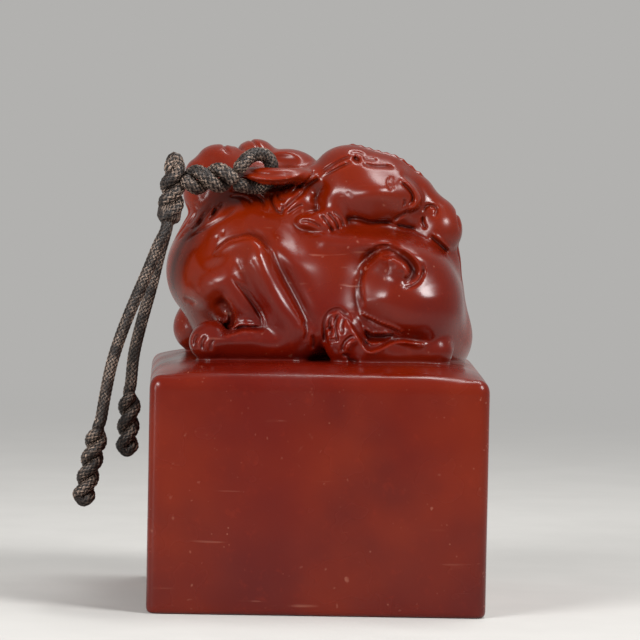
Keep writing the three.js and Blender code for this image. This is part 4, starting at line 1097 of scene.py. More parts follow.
class HandWear:
    """Node group of what years of handling leave: fine scratches, specks and faint unevenness.

    Attributes:
        SCRATCHES: Turn and stretch of each set of scratches, and where its noise turns into lines.
    """

    SCRATCHES = (
        ((0.4, 0.9, 0.2), (60, 900, 900), (0.7, 0.8)),
        ((1.3, 0.1, 0.8), (900, 70, 900), (0.71, 0.81)),
    )

    def __init__(self) -> None:
        """Builds the group once."""
        group = NodeGroup(
            "hand_wear",
            {"Place": ("NodeSocketVector", None), "Fineness": ("NodeSocketFloat", 1.0)},
            {"Scratches": "NodeSocketFloat", "Specks": "NodeSocketFloat", "Swell": "NodeSocketFloat"},
        )
        scaled = {0: group.inputs["Place"], "Scale": group.inputs["Fineness"]}
        place = group.add("ShaderNodeVectorMath", scaled, operation="SCALE").outputs[0]
        sets = []
        for angles, sizes, marks in self.SCRATCHES:
            moved = group.add("ShaderNodeMapping", {"Vector": place, "Rotation": angles, "Scale": sizes})
            sets.append(group.mask(group.noise(moved.outputs[0], 1.0, 1.0), *marks))
        lines = group.math("MAXIMUM", *sets)
        where = group.mask(group.noise(place, 130.0, 2.0), 0.42, 0.62)
        group.put("Scratches", group.math("MULTIPLY", lines, where))
        grains = group.add("ShaderNodeTexVoronoi", {"Vector": place, "Scale": 900.0}).outputs["Distance"]
        dots = group.mask(grains, 0.16, 0.05)
        patches = group.mask(group.noise(place, 210.0, 1.0), 0.55, 0.7)
        group.put("Specks", group.math("MULTIPLY", dots, patches))
        group.put("Swell", group.noise(place, 120.0, 2.0))
        self.tree = group.tree

    def place(self, nodes: Nodes, where: bpy.types.NodeSocket, fineness: float) -> bpy.types.Node:
        """Puts the group into a material's tree.

        Args:
            nodes: Builder of the material's tree.
            where: Place on the surface.
            fineness: How fine the wear is, 1 for the drawn scale.

        Returns:
            The group's node.
        """
        node = nodes.add("ShaderNodeGroup", node_tree=self.tree)
        nodes.tree.links.new(where, node.inputs["Place"])
        node.inputs["Fineness"].default_value = fineness
        return node


@dataclass(frozen=True)
class PolishedStone:
    """Deep red soapstone with orange and purplish clouds, polished and handled, with painted shade in its
    hollows and towards its foot.

    Attributes:
        edge: Colour of the pale flecks and of the worn crests.
        dust: Colour of what lies in scratches and specks.
        glow: Share of the light that goes through the skin of the stone.
        shade_foot_height: Height over the table up to which the stone is darkened and turned purplish, a
            painted shade, in metres.
        fleck_share: How much of the edge's colour the flecks show.
        crest_share: How much of it the crests show.
        broad_shade_share: How much painted shade the broad hollows show.
        fine_shade_share: How much painted shade the fine hollows show.
        scratch_share: How much of the dust's colour the scratches show.
        speck_share: How much of it the specks show.
    """

    red: Colour = srgb(92, 11, 0)
    orange: Colour = srgb(114, 28, 0)
    purple: Colour = srgb(72, 8, 6)
    # Painted shade: the colour that the broad and fine hollows are darkened towards
    painted_shade: Colour = srgb(52, 6, 4)
    edge: Colour = srgb(148, 42, 16)
    dust: Colour = srgb(190, 130, 108)
    roughness: float = 0.23
    specular: float = 0.3
    glow: float = 0.08
    shade_foot_height: float = 0.022
    fleck_share: float = 0.14
    crest_share: float = 0.2
    broad_shade_share: float = 0.35
    fine_shade_share: float = 0.2
    scratch_share: float = 0.22
    speck_share: float = 0.3

    def colour(self, nodes: Nodes, place: bpy.types.NodeSocket,
               marks: bpy.types.Node) -> bpy.types.NodeSocket:
        """Builds the stone's colour: clouds, painted shade at the foot, flecks and worn crests, painted
        shade in the hollows, then scratches and specks.

        Args:
            nodes: Builder of the material's tree.
            place: Place on the surface.
            marks: The wear group's node.

        Returns:
            The colour.
        """
        hollow, crest, deep = (nodes.attribute(name) for name in ("hollow", "crest", "deep"))
        clouds = nodes.noise(place, 34.0, 3.0, 0.5)
        veins = nodes.noise(place, 48.0, 3.0, 0.5)
        flecks = nodes.noise(place, 700.0, 3.0, 0.6)
        colour = nodes.mix(nodes.mask(clouds, 0.34, 0.7), self.red, self.orange)
        colour = nodes.mix(nodes.mask(veins, 0.46, 0.8, 0.0, 0.7), colour, self.purple)
        # Painted shade: towards the foot of the block the colour turns darker and purplish
        height = nodes.add("ShaderNodeSeparateXYZ", {0: place}).outputs["Z"]
        foot = nodes.math("MULTIPLY", nodes.mask(height, self.shade_foot_height, 0.0),
                          nodes.mask(clouds, 0.3, 0.6, 0.75, 0.35))
        colour = nodes.mix(foot, colour, self.purple)
        # Flecks and worn crests turn lighter; the broad and fine hollows get painted shade
        for source, low, high, share, tone in (
            (flecks, 0.58, 0.8, self.fleck_share, self.edge),
            (crest, 0.05, 0.8, self.crest_share, self.edge),
            (deep, 0.15, 0.9, self.broad_shade_share, self.painted_shade),
            (hollow, 0.15, 1.0, self.fine_shade_share, self.painted_shade),
        ):
            colour = nodes.mix(nodes.mask(source, low, high, 0.0, share), colour, tone)
        for name, share in (("Scratches", self.scratch_share), ("Specks", self.speck_share)):
            colour = nodes.mix(nodes.math("MULTIPLY", marks.outputs[name], share), colour, self.dust)
        return colour

    def material(self, wear: HandWear) -> bpy.types.Material:
        """Builds the material.

        Args:
            wear: The shared wear group.

        Returns:
            The material.
        """
        material, nodes = new_material("polished_red_stone")
        place = nodes.add("ShaderNodeTexCoord").outputs["Object"]
        marks = wear.place(nodes, place, 1.0)
        scratches, swell = marks.outputs["Scratches"], marks.outputs["Swell"]
        rough = nodes.mask(swell, 0.3, 0.7, -0.05, 0.07)
        for added in (nodes.math("MULTIPLY", scratches, 0.2),
                      nodes.math("MULTIPLY", nodes.attribute("hollow"), 0.15), self.roughness):
            rough = nodes.math("ADD", rough, added)
        relief = nodes.math("SUBTRACT", swell, nodes.math("MULTIPLY", scratches, 0.25))
        bump = nodes.add("ShaderNodeBump", {"Height": relief, "Strength": 0.35, "Distance": 0.12 * MM})
        shader = nodes.add("ShaderNodeBsdfPrincipled", {
            "Base Color": self.colour(nodes, place, marks), "Roughness": rough, "Normal": bump.outputs[0],
            "Subsurface Weight": self.glow, "Subsurface Radius": (1.0, 0.28, 0.12),
            "Subsurface Scale": 1.4 * MM, "Specular IOR Level": self.specular,
        })
        nodes.add("ShaderNodeOutputMaterial", {"Surface": shader.outputs[0]})
        return material


@dataclass(frozen=True)
class BraidedSatin:
    """Dark brown satin cord: pale painted glints on the crowns of the plaits, and painted shade, near black,
    between them.
    """

    # Painted shade between the plaits
    painted_shade: Colour = srgb(6, 4, 4)
    thread: Colour = srgb(24, 16, 13)
    # Painted highlight: the pale glints on the crowns
    painted_glint: Colour = srgb(186, 160, 142)
    roughness: float = 0.36
    specular: float = 0.3

    def material(self) -> bpy.types.Material:
        """Builds the material.

        Returns:
            The material.
        """
        material, nodes = new_material("braided_satin_cord")
        crown = nodes.attribute("crown")
        fibre = nodes.attribute("fibre", "Vector")
        stretched = nodes.add("ShaderNodeMapping", {"Vector": fibre, "Scale": (9.0, 0.9, 1.0)}).outputs[0]
        threads = nodes.noise(stretched, 1.0, 2.0)
        patches = nodes.noise(nodes.add("ShaderNodeTexCoord").outputs["Object"], 500.0, 2.0)
        # Painted shade: the plaits turn near black away from their crowns
        colour = nodes.mix(nodes.mask(crown, 0.3, 0.75), self.painted_shade, self.thread)
        # Painted highlight: pale glints on the crowns, in random patches
        lit = nodes.math("MULTIPLY", nodes.mask(threads, 0.47, 0.6), nodes.mask(crown, 0.5, 0.85))
        lit = nodes.math("MULTIPLY", lit, nodes.mask(patches, 0.4, 0.6, 0.15, 1.0))
        colour = nodes.mix(lit, colour, self.painted_glint)
        height = nodes.math("ADD", nodes.math("MULTIPLY", threads, 0.6),
                            nodes.math("MULTIPLY", patches, 0.2))
        bump = nodes.add("ShaderNodeBump", {"Height": height, "Strength": 0.6, "Distance": 0.12 * MM})
        rough = nodes.mask(threads, 0.3, 0.7, self.roughness - 0.1, self.roughness + 0.15)
        shader = nodes.add("ShaderNodeBsdfPrincipled", {
            "Base Color": colour, "Roughness": rough, "Normal": bump.outputs[0],
            "Specular IOR Level": self.specular,
        })
        nodes.add("ShaderNodeOutputMaterial", {"Surface": shader.outputs[0]})
        return material


# The stone

@dataclass
class SealStone:
    """The block, its printing face and the beasts carved on top, cut from one stone.

    Attributes:
        step: Distance between the places that the surface is sampled at, in millimetres.
        reach: How far from the middle it is sampled, along X and Y.
        top: Height over the rim up to which the carving is sampled.
        under: How far under the printing face the foot is sampled.
        seam_low: Height over the table up to which the foot is sampled.
        seam_high: Height over the rim from which the carving is sampled.
        wall_rows: Rows of faces on the straight sides between them.
        side_fade: How far from the middle the marks of a flank begin and are whole.
        end_fade: How far from the middle the marks of the chest and the tail do.
        crown_fade: Height at which the marks from above do.
        ground_join: Softness of the beasts' join with the ground.
        pulls: How often the points are pulled onto the surface.
        pull_reach: How far each time, as a share of the step.
        least_steepness: Least steepness, squared, that a pull trusts.
        deepest: Distances beyond this don't count in the relief.
        fine_reach: How far round a point its fine relief is measured.
        broad_reach: How far round it its broad relief is measured.
        fine_full: Fine relief that counts as whole.
        broad_full: Broad relief that counts as whole.
    """

    step: float = 0.2
    reach: float = 26.0
    top: float = 35.6
    under: float = 0.6
    seam_low: float = 2.4
    seam_high: float = -3.2
    wall_rows: int = 12
    side_fade: Point = (0.4, 3.6)
    end_fade: Point = (11, 15)
    crown_fade: Point = (20, 23)
    ground_join: float = 0.7
    pulls: int = 2
    pull_reach: float = 0.3
    least_steepness: float = 0.2
    deepest: float = 2.5
    fine_reach: float = 0.45
    broad_reach: float = 1.6
    fine_full: float = 0.16
    broad_full: float = 0.7

    def block_distance(self, places: list[np.ndarray]) -> np.ndarray:
        """Signed distance to the block with its rounded rim and the carved ground on it.

        Args:
            places: X, Y and heights, ready to broadcast.

        Returns:
            The distances.
        """
        x, y, z = places
        half = BLOCK.side / 2
        ax, ay = np.abs(x), np.abs(y)
        qx, qy = ax - half + BLOCK.corner_radius, ay - half + BLOCK.corner_radius
        side = np.hypot(np.maximum(qx, 0), np.maximum(qy, 0)) + np.minimum(np.maximum(qx, qy), 0)
        side = side - BLOCK.corner_radius
        inset = half + smooth_union(-ax, -ay, BLOCK.ground_corner)
        ground = np.interp(inset, BLOCK.ground_insets, BLOCK.ground_heights).astype(np.float32)
        body = smooth_cut(side, -(z - ground) * BLOCK.ground_slope, BLOCK.rim_softness)
        return smooth_cut(body, z + BLOCK.height, BLOCK.foot_softness)

    def print_pocket(self, x: np.ndarray, y: np.ndarray) -> np.ndarray:
        """Signed distance, on the flat, to what is cut away round the raised lines of the print.

        Args:
            x: Places along X.
            y: Places along Y.

        Returns:
            The distances, less than nothing where it is cut away.
        """
        half = BLOCK.side / 2 - BLOCK.print_margin
        edge = np.maximum(np.abs(x), np.abs(y)) - half
        radius = np.hypot(x, y)
        ring = BLOCK.ring_half_width - np.abs(radius - BLOCK.ring_radius)
        core = BLOCK.rosette_core - radius
        share = 2 * math.pi / BLOCK.petal_count
        angle = np.mod(np.arctan2(y, x) + share / 2, share) - share / 2
        along = radius * np.cos(angle) - BLOCK.petal_start
        inside = np.clip(along, 0, BLOCK.petal_length)
        bow = np.abs(np.sin(math.pi * inside / BLOCK.petal_length)) ** BLOCK.petal_fullness
        petal = BLOCK.petal_half_width * bow - np.abs(radius * np.sin(angle)) - np.abs(along - inside)
        return np.maximum.reduce([edge, ring, core, petal])

    def side_maps(self, lines: list[np.ndarray]) -> dict[View, SideMap]:
        """Draws every swelling, ledge and stroke on the map of its side.

        Args:
            lines: The grid's places along X, Y and the height.

        Returns:
            The map of each side.
        """
        x, y, z = lines
        maps = {
            View.NEAR: SideMap(x, z), View.FAR: SideMap(x, z), View.CROWN: SideMap(x, y),
            View.CHEST: SideMap(y, z), View.TAIL: SideMap(y, z),
        }
        for mark in (*SWELLS, *BROAD_STROKES, *LEDGES, *FLANK_STROKES, *HEAD_STROKES, *FACE_STROKES,
                     *CHEST_STROKES, *TAIL_STROKES, *CUB_STROKES, *CROWN_STROKES):
            for view in (View.NEAR, View.FAR) if mark.view is View.BOTH else (mark.view,):
                maps[view].draw(mark)
        return maps

    def carve(self, grid: Field) -> None:
        """Carves the beasts on a grid that reaches over the rim, without the block.

        Args:
            grid: The empty grid.
        """
        for shape in (*MOTHER_MASSES, *HEAD_MASSES, *CUB_MASSES, *MOTHER_LIMBS, *CUB_LIMBS):
            grid.blend(shape, smooth_union)
        maps = self.side_maps(grid.lines)
        x, y, z = grid.places()
        near, far = smooth_step(-y, *self.side_fade), smooth_step(y, *self.side_fade)
        grid.values += maps[View.NEAR].depth[:, None, :] * near + maps[View.FAR].depth[:, None, :] * far
        grid.values += maps[View.CROWN].depth[:, :, None] * smooth_step(z, *self.crown_fade)
        grid.values += maps[View.CHEST].depth[None, :, :] * smooth_step(-x, *self.end_fade)
        grid.values += maps[View.TAIL].depth[None, :, :] * smooth_step(x, *self.end_fade)
        for hollow in HOLLOWS:
            grid.blend(hollow, smooth_cut)
        for fang in FANGS:
            grid.blend(fang, smooth_union)
        for start, end in zip(EYE_PATH, EYE_PATH[1:]):
            grid.blend(Limb(start, end, (EYE_RADIUS, EYE_RADIUS), EYE_JOIN), smooth_cut)

    def upper_field(self, step: float) -> Field:
        """The rim of the block, the ground and the beasts, sampled on a grid.

        Args:
            step: Distance between the grid's places.

        Returns:
            The grid.
        """
        grid = Field((-self.reach, -self.reach, self.seam_high), (self.reach, self.reach, self.top), step)
        self.carve(grid)
        block = self.block_distance(grid.places())
        np.copyto(grid.values, smooth_union(grid.values, block, self.ground_join))
        return grid

    def foot_field(self, step: float) -> Field:
        """The foot of the block and its printing face, sampled on a grid.

        Args:
            step: Distance between the grid's places.

        Returns:
            The grid.
        """
        base = -BLOCK.height
        low = (-self.reach, -self.reach, base - self.under)
        grid = Field(low, (self.reach, self.reach, base + self.seam_low), step)
        x, y, z = grid.places()
        pocket = np.maximum(self.print_pocket(x, y), z - base - BLOCK.print_depth)
        np.copyto(grid.values, smooth_cut(self.block_distance([x, y, z]), pocket, BLOCK.print_softness))
        return grid

    def relief(self, grid: Field, points: np.ndarray) -> dict[str, np.ndarray]:
        """How hollow, proud and deep the stone lies at each point of its surface: the hollow and deep shares
        give the painted shade of its colour.

        Args:
            grid: The sampled stone.
            points: Points on its surface.

        Returns:
            The shares, from 0 to 1, by name.
        """
        values = np.clip(grid.values, -self.deepest, self.deepest)
        fine, _ = grid.sample(points, box_blur(values, max(1, round(self.fine_reach / grid.step))))
        broad, _ = grid.sample(points, box_blur(values, max(2, round(self.broad_reach / grid.step))))
        return {
            "hollow": np.clip(-fine / self.fine_full, 0, 1),
            "crest": np.clip(fine / self.fine_full, 0, 1),
            "deep": np.clip(-broad / self.broad_full, 0, 1),
        }

    def build(self) -> bpy.types.Object:
        """Makes the stone as one closed mesh, with its relief stored on it for the painted shade and the
        worn crests of its colour.

        Returns:
            The stone's object.
        """
        step = self.step
        points, faces, relief, rims = [], [], [], []
        for grid, layer in ((self.foot_field(step), -1), (self.upper_field(step), 0)):
            spots, quads, cells = grid.surface()
            for _ in range(self.pulls):
                value, slope = grid.sample(spots, grid.values)
                pull = value / np.maximum((slope ** 2).sum(1), self.least_steepness)
                limit = self.pull_reach * step
                spots = spots - slope * np.clip(pull, -limit, limit)[:, None]
            edge = grid.values.shape[2] - 2 if layer < 0 else 0
            rim = np.nonzero(cells[:, 2] == edge)[0]
            offset = sum(len(part) for part in points)
            rims.append({tuple(cells[i, :2]): (offset + i) for i in rim})
            points.append(spots)
            faces.append(quads + offset)
            relief.append(self.relief(grid, spots))
        points, faces = np.vstack(points), np.vstack(faces)
        relief = {name: np.concatenate([part[name] for part in relief]) for name in relief[0]}
        return self.close(points, faces, relief, rims)

    def close(self, points: np.ndarray, faces: np.ndarray, relief: dict[str, np.ndarray],
              rims: list[dict]) -> bpy.types.Object:
        """Joins the foot and the carving with the straight sides of the block.

        Args:
            points: Points of both parts.
            faces: Their faces.
            relief: Their relief.
            rims: The rim point of each part in each column of the grid.

        Returns:
            The stone's object.
        """
        lower, upper = rims
        around = {cell: math.atan2(points[upper[cell]][1], points[upper[cell]][0]) for cell in upper}
        shared = sorted(set(lower) & set(upper), key=around.get)
        bottom, top = (np.array([rim[cell] for cell in shared], int) for rim in rims)
        count = len(shared)
        shares = [row / self.wall_rows for row in range(1, self.wall_rows)]
        extra = [points[bottom] * (1 - t) + points[top] * t for t in shares]
        between = [len(points) + row * count + np.arange(count) for row in range(len(extra))]
        rows = [bottom, *between, top]
        pairs = zip(rows, rows[1:])
        walls = [np.stack([low, np.roll(low, -1), np.roll(high, -1), high], 1) for low, high in pairs]
        obj = mesh_object("seal_stone_carved", np.vstack([points, *extra]), np.vstack([faces, *walls]))
        for name, values in relief.items():
            set_attribute(obj, name, np.concatenate([values, np.zeros(count * len(extra))]))
        return obj


# The cord

@dataclass(frozen=True)
class Braid:
    """How the cord is plaited.

    Attributes:
        strands: Plaits each way round the cord.
        lay: Length of one turn of a plait, in millimetres.
        relief: How far a plait stands proud.
        sides: Points round the cord.
        step: Distance between the rings of points.
        under_share: How high a plait that passes under another rises, as a share of the other.
        under_drop: How much lower it lies.
        mid_height: Height on a plait at which the cord has its own radius.
    """

    strands: int = 8
    lay: float = 6.0
    relief: float = 0.2
    sides: int = 40
    step: float = 0.15
    under_share: float = 0.75
    under_drop: float = 0.25
    mid_height: float = 0.6


@dataclass
class BraidedTube:
    """A stretch of braided cord along a smooth line, with rounded ends.

    Attributes:
        points: Points that the line passes through, in millimetres.
        radius: Radius of the cord.
        braid: How it is plaited.
        end_share: Length over which each end closes, as a share of the radius.
        end_least: Least share of the radius, squared, that is left at the very end.
        lean: A direction that no stretch of the cord starts along.
    """

    points: np.ndarray | tuple[Place, ...]
    radius: float = 1.0
    braid: Braid = Braid()
    end_share: float = 0.8
    end_least: float = 0.02
    lean: Place = (0.31, 0.9, 0.3)

    def line(self) -> np.ndarray:
        """Places along the cord's middle, one for each ring of points."""
        step = self.braid.step * 1
        return smooth_line(np.asarray(self.points, float), step)

    def frames(self, line: np.ndarray) -> tuple[np.ndarray, np.ndarray]:
        """Two directions square to the line at each place, which twist as little as they can.

        Args:
            line: Places along the line.

        Returns:
            The two directions, one a row.
        """
        along = np.gradient(line, axis=0)
        along /= np.linalg.norm(along, axis=1)[:, None]
        first = np.cross(along[0], self.lean)
        sides = [first / np.linalg.norm(first)]
        for tangent in along[1:]:
            side = sides[-1] - tangent * (sides[-1] @ tangent)
            sides.append(side / np.linalg.norm(side))
        side = np.array(sides)
        return side, np.cross(along, side)

    def mesh(self, offset: int) -> tuple[np.ndarray, list, np.ndarray, np.ndarray]:
        """Points, faces and plait values of the tube.

        Args:
            offset: Number of the tube's first point.

        Returns:
            The points, the faces, how high each point lies on its plait, and its place on the plait.
        """
        line = self.line()
        side, other = self.frames(line)
        sides = self.braid.sides // 1
        turn = np.arange(sides) / sides
        length = distances_along(line)
        pitch = self.braid.lay / self.braid.strands
        one = self.braid.strands * turn[None, :] + length[:, None] / pitch
        two = self.braid.strands * turn[None, :] - length[:, None] / pitch
        over = np.mod(np.floor(one) + np.floor(two), 2) < 1
        heights = [np.sin(math.pi * np.mod(value, 1)) for value in (one, two)]
        upper = np.where(over, heights[0], heights[1])
        lower = np.where(over, heights[1], heights[0])
        crown = np.maximum(upper, self.braid.under_share * lower - self.braid.under_drop)
        ends = np.minimum(length, length[-1] - length)[:, None]
        closing = np.sqrt(np.clip(ends / (self.end_share * self.radius), self.end_least, 1))
        radius = (self.radius + self.braid.relief * (crown - self.braid.mid_height)) * closing
        angle = 2 * math.pi * turn[None, :, None]
        ring = np.cos(angle) * side[:, None] + np.sin(angle) * other[:, None]
        points = (line[:, None] + ring * radius[..., None]).reshape(-1, 3)
        number = offset + np.arange(len(line) * sides).reshape(len(line), sides)
        beside = np.roll(number, -1, 1)
        faces = np.stack([number[:-1], beside[:-1], beside[1:], number[1:]], -1).reshape(-1, 4).tolist()
        faces += [number[0][::-1].tolist(), number[-1].tolist()]
        across = np.where(over, np.mod(one, 1), np.mod(two, 1))
        plait = np.where(over, np.floor(one), np.floor(two))
        place = np.stack([across + 3 * over, np.broadcast_to(length[:, None], across.shape), plait], -1)
        return points, faces, crown.ravel(), place.reshape(-1, 3)


def cord_object(name: str, tubes: list[BraidedTube], material: bpy.types.Material) -> bpy.types.Object:
    """Makes one piece of one or more stretches of braided cord.

    Args:
        name: Name of the piece.
        tubes: The stretches.
        material: The cord's material.

    Returns:
        The piece.
    """
    points, faces, crowns, places = [], [], [], []
    for tube in tubes:
        made = tube.mesh(sum(len(part) for part in points))
        points.append(made[0])
        faces.extend(made[1])
        crowns.append(made[2])
        places.append(made[3])
    obj = mesh_object(name, np.vstack(points), faces)
    set_attribute(obj, "crown", np.concatenate(crowns))
    set_attribute(obj, "fibre", np.vstack(places))
    obj.data.materials.append(material)
    return obj


# Routes of the cord: the tails' as X and height, and their roots' as X, share of the spread and height

CORD_Y = -10.0
TAIL_SPREAD = 3.8
LEFT_TAIL_Y = CORD_Y - TAIL_SPREAD / 2
RIGHT_TAIL_Y = CORD_Y + TAIL_SPREAD / 2

LOOP_ROUTE = (
    (-12.9, -10.2, 29.2), (-11.9, -9.8, 30.25), (-11.2, -9.2, 31.1), (-9.9, -8, 31.8), (-8.4, -7, 31.6),
    (EYE_X, EYE_Y, 30.4), (EYE_X, EYE_Y, 28.4), (-8.6, -7, 27.1), (-10.4, -7.9, 26.9), (-12.2, -9.6, 27.3),
    (-13.2, -10.1, 27.6),
)
WRAP_ROUTE = ((-22.25, -10.1, 25), (-22.55, CORD_Y, 23.2), (-22.85, CORD_Y, 20.9))
TAIL_ROOTS = ((-22.78, 0.66, 22),)
LEFT_TAIL_ROUTE = (
    (-23.1, 20.3), (-24.2, 18), (-25.6, 14.4), (-27.5, 9.8), (-29.2, 5.4), (-30.7, 0.6), (-31.6, -4),
    (-32.2, -7.8),
)
RIGHT_TAIL_ROUTE = ((-23, 20.3), (-24, 16.4), (-25.1, 11.6), (-26.5, 6.2), (-27.5, 1.6), (-27.9, -2.8))


@dataclass(frozen=True)
class Winding:
    """Where a knot is wound.

    Attributes:
        start: First end of its axis.
        end: Last end of its axis.
        turns: Turns that each of its two strands makes.
        radius: Distance from the axis to the middle of a strand.
        strand: Radius of a strand.
        drawn_in: Share of its length over which each end is drawn in.
    """

    start: Place
    end: Place
    turns: float
    radius: float
    strand: float
    drawn_in: float = 0.3

    def strand_line(self, phase: float, ends: Point, count: int = 40) -> np.ndarray:
        """Middle line of one strand.

        Args:
            phase: Angle at which it starts, in turns.
            ends: Share of its radius that is left at the first and the last end.
            count: Number of points.

        Returns:
            The points.
        """
        start, end = np.array(self.start), np.array(self.end)
        axis = end - start
        axis = axis / np.linalg.norm(axis)
        sideways = np.array([0.0, 1.0, 0.0])
        sideways -= axis * axis[1]
        sideways /= np.linalg.norm(sideways)
        outwards = np.cross(sideways, axis)
        t = np.linspace(0, 1, count)
        angle = 2 * math.pi * (phase + self.turns * t)
        first = ends[0] + (1 - ends[0]) * smooth_step(t, 0, self.drawn_in)
        last = ends[1] + (1 - ends[1]) * smooth_step(1 - t, 0, self.drawn_in)
        radius = self.radius * first * last
        spots = start + np.outer(t, end - start) + np.outer(radius * np.cos(angle), outwards)
        return spots + np.outer(radius * np.sin(angle), sideways)


RING_KNOT = Winding((-12.6, -10, 28.6), (-20.9, -10.3, 27.7), 1.25, 1.2, 1.02)
BUTTON_KNOT = Winding((-21.9, -10.2, 29.8), (-22.6, CORD_Y, 21.6), 1.5, 0.92, 0.98)
LEFT_END_KNOT = Winding((-32.3, LEFT_TAIL_Y, -8.3), (-34.6, LEFT_TAIL_Y, -19.4), 2, 0.82, 0.84)
RIGHT_END_KNOT = Winding((-27.95, RIGHT_TAIL_Y, -3.3), (-28.3, RIGHT_TAIL_Y, -12.2), 1.5, 0.82, 0.84)


@dataclass
class SealCord:
    """The braided cord: the bight in the eye, two knots, and two tails that end in wound knots.

    Attributes:
        diameter: Diameter of the cord, in millimetres.
        button_top: Where the button knot's two strands meet.
        wrap_radius: Radius of the wrap round the button knot's foot.
        wrap_braid: How the wrap is plaited: many plaits that run almost straight.
        foot: How far past an end knot's axis the cord turns back.
        finish: The cord's finish.
    """

    diameter: float = 2.0
    button_top: Place = (-21.9, -10.2, 31.1)
    wrap_radius: float = 1.75
    wrap_braid: Braid = Braid(strands=26, lay=160, relief=0.08, sides=104)
    foot: Place = (0.05, 0, 0.75)
    finish: BraidedSatin = BraidedSatin()

    def bight(self, material: bpy.types.Material) -> bpy.types.Object:
        """The stretch that goes over the ear and through the eye."""
        return cord_object("cord_bight", [BraidedTube(LOOP_ROUTE, self.diameter / 2)], material)

    def ring_knot(self, material: bpy.types.Material) -> bpy.types.Object:
        """The knot beside the cheek: the doubled cord, twisted on itself.

        Args:
            material: The cord's material.

        Returns:
            The piece.
        """
        lines = [RING_KNOT.strand_line(phase, (0.75, 0.6)) for phase in (0.1, 0.6)]
        tubes = [BraidedTube(line, RING_KNOT.strand) for line in lines]
        return cord_object("cord_ring_knot", tubes, material)

    def button_knot(self, material: bpy.types.Material) -> bpy.types.Object:
        """The long knot from which the tails hang.

        Args:
            material: The cord's material.

        Returns:
            The piece.
        """
        one, two = (BUTTON_KNOT.strand_line(phase, (0.6, 1.0)) for phase in (0.0, 0.5))
        strands = np.vstack([one[::-1], [self.button_top], two])
        wrap = BraidedTube(WRAP_ROUTE, self.wrap_radius, self.wrap_braid)
        return cord_object("cord_button_knot", [BraidedTube(strands, BUTTON_KNOT.strand), wrap], material)

    def tail(self, name: str, route: tuple[Point, ...], y: float, knot: Winding,
             material: bpy.types.Material) -> tuple[bpy.types.Object, np.ndarray]:
        """One free end: it hangs down, winds round itself and comes back up inside the knot.

        Args:
            name: Name of the piece.
            route: Its route as X and height.
            y: Where it hangs along Y.
            knot: Where its end is wound.
            material: The cord's material.

        Returns:
            The piece and its middle line, in millimetres.
        """
        roots = [(x, CORD_Y + share * (y - CORD_Y), height) for x, share, height in TAIL_ROOTS]
        hang = np.array([*roots, *((x, y, height) for x, height in route)])
        down = knot.strand_line(0.0, (0.15, 1.0))
        up = knot.strand_line(0.5, (0.7, 1.0))[::-1]
        foot = np.array(knot.end) - self.foot
        tube = BraidedTube(np.vstack([hang, down[2:], [foot], up[:-3]]), knot.strand)
        return cord_object(name, [tube], material), tube.line()

    def build(self) -> None:
        """Makes every stretch of the cord and hands them to the frame."""
        material = self.finish.material()
        bight, ring, button = self.bight(material), self.ring_knot(material), self.button_knot(material)
        left, left_line = self.tail("cord_left_end", LEFT_TAIL_ROUTE, LEFT_TAIL_Y, LEFT_END_KNOT, material)
        right, right_line = self.tail(
            "cord_right_end", RIGHT_TAIL_ROUTE, RIGHT_TAIL_Y, RIGHT_END_KNOT, material,
        )
        rides = (
            (bight, "seal", ("cord_loop",)),
            (ring, "knots", ("ring_knot",)),
            (button, "knots", ("button_knot",)),
            (left, "left_cord_end", ("left_tail", "left_end_knot")),
            (right, "right_cord_end", ("right_tail", "right_end_knot")),
        )
        for piece, body, nodes in rides:
            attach(piece, body)
            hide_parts(*nodes)
            LOG.info("%s: %d faces", piece.name, len(piece.data.polygons))


# The studio

@dataclass(frozen=True)
class Softbox:
    """A rectangular soft lamp that looks at the seal.

    Attributes:
        towards: Direction from the seal to the lamp.
        distance: Distance from the seal, in metres.
        size: Width and height of the lamp, in metres.
        power: Power, in watts.
    """

    towards: Place
    distance: float
    size: Point
    power: float


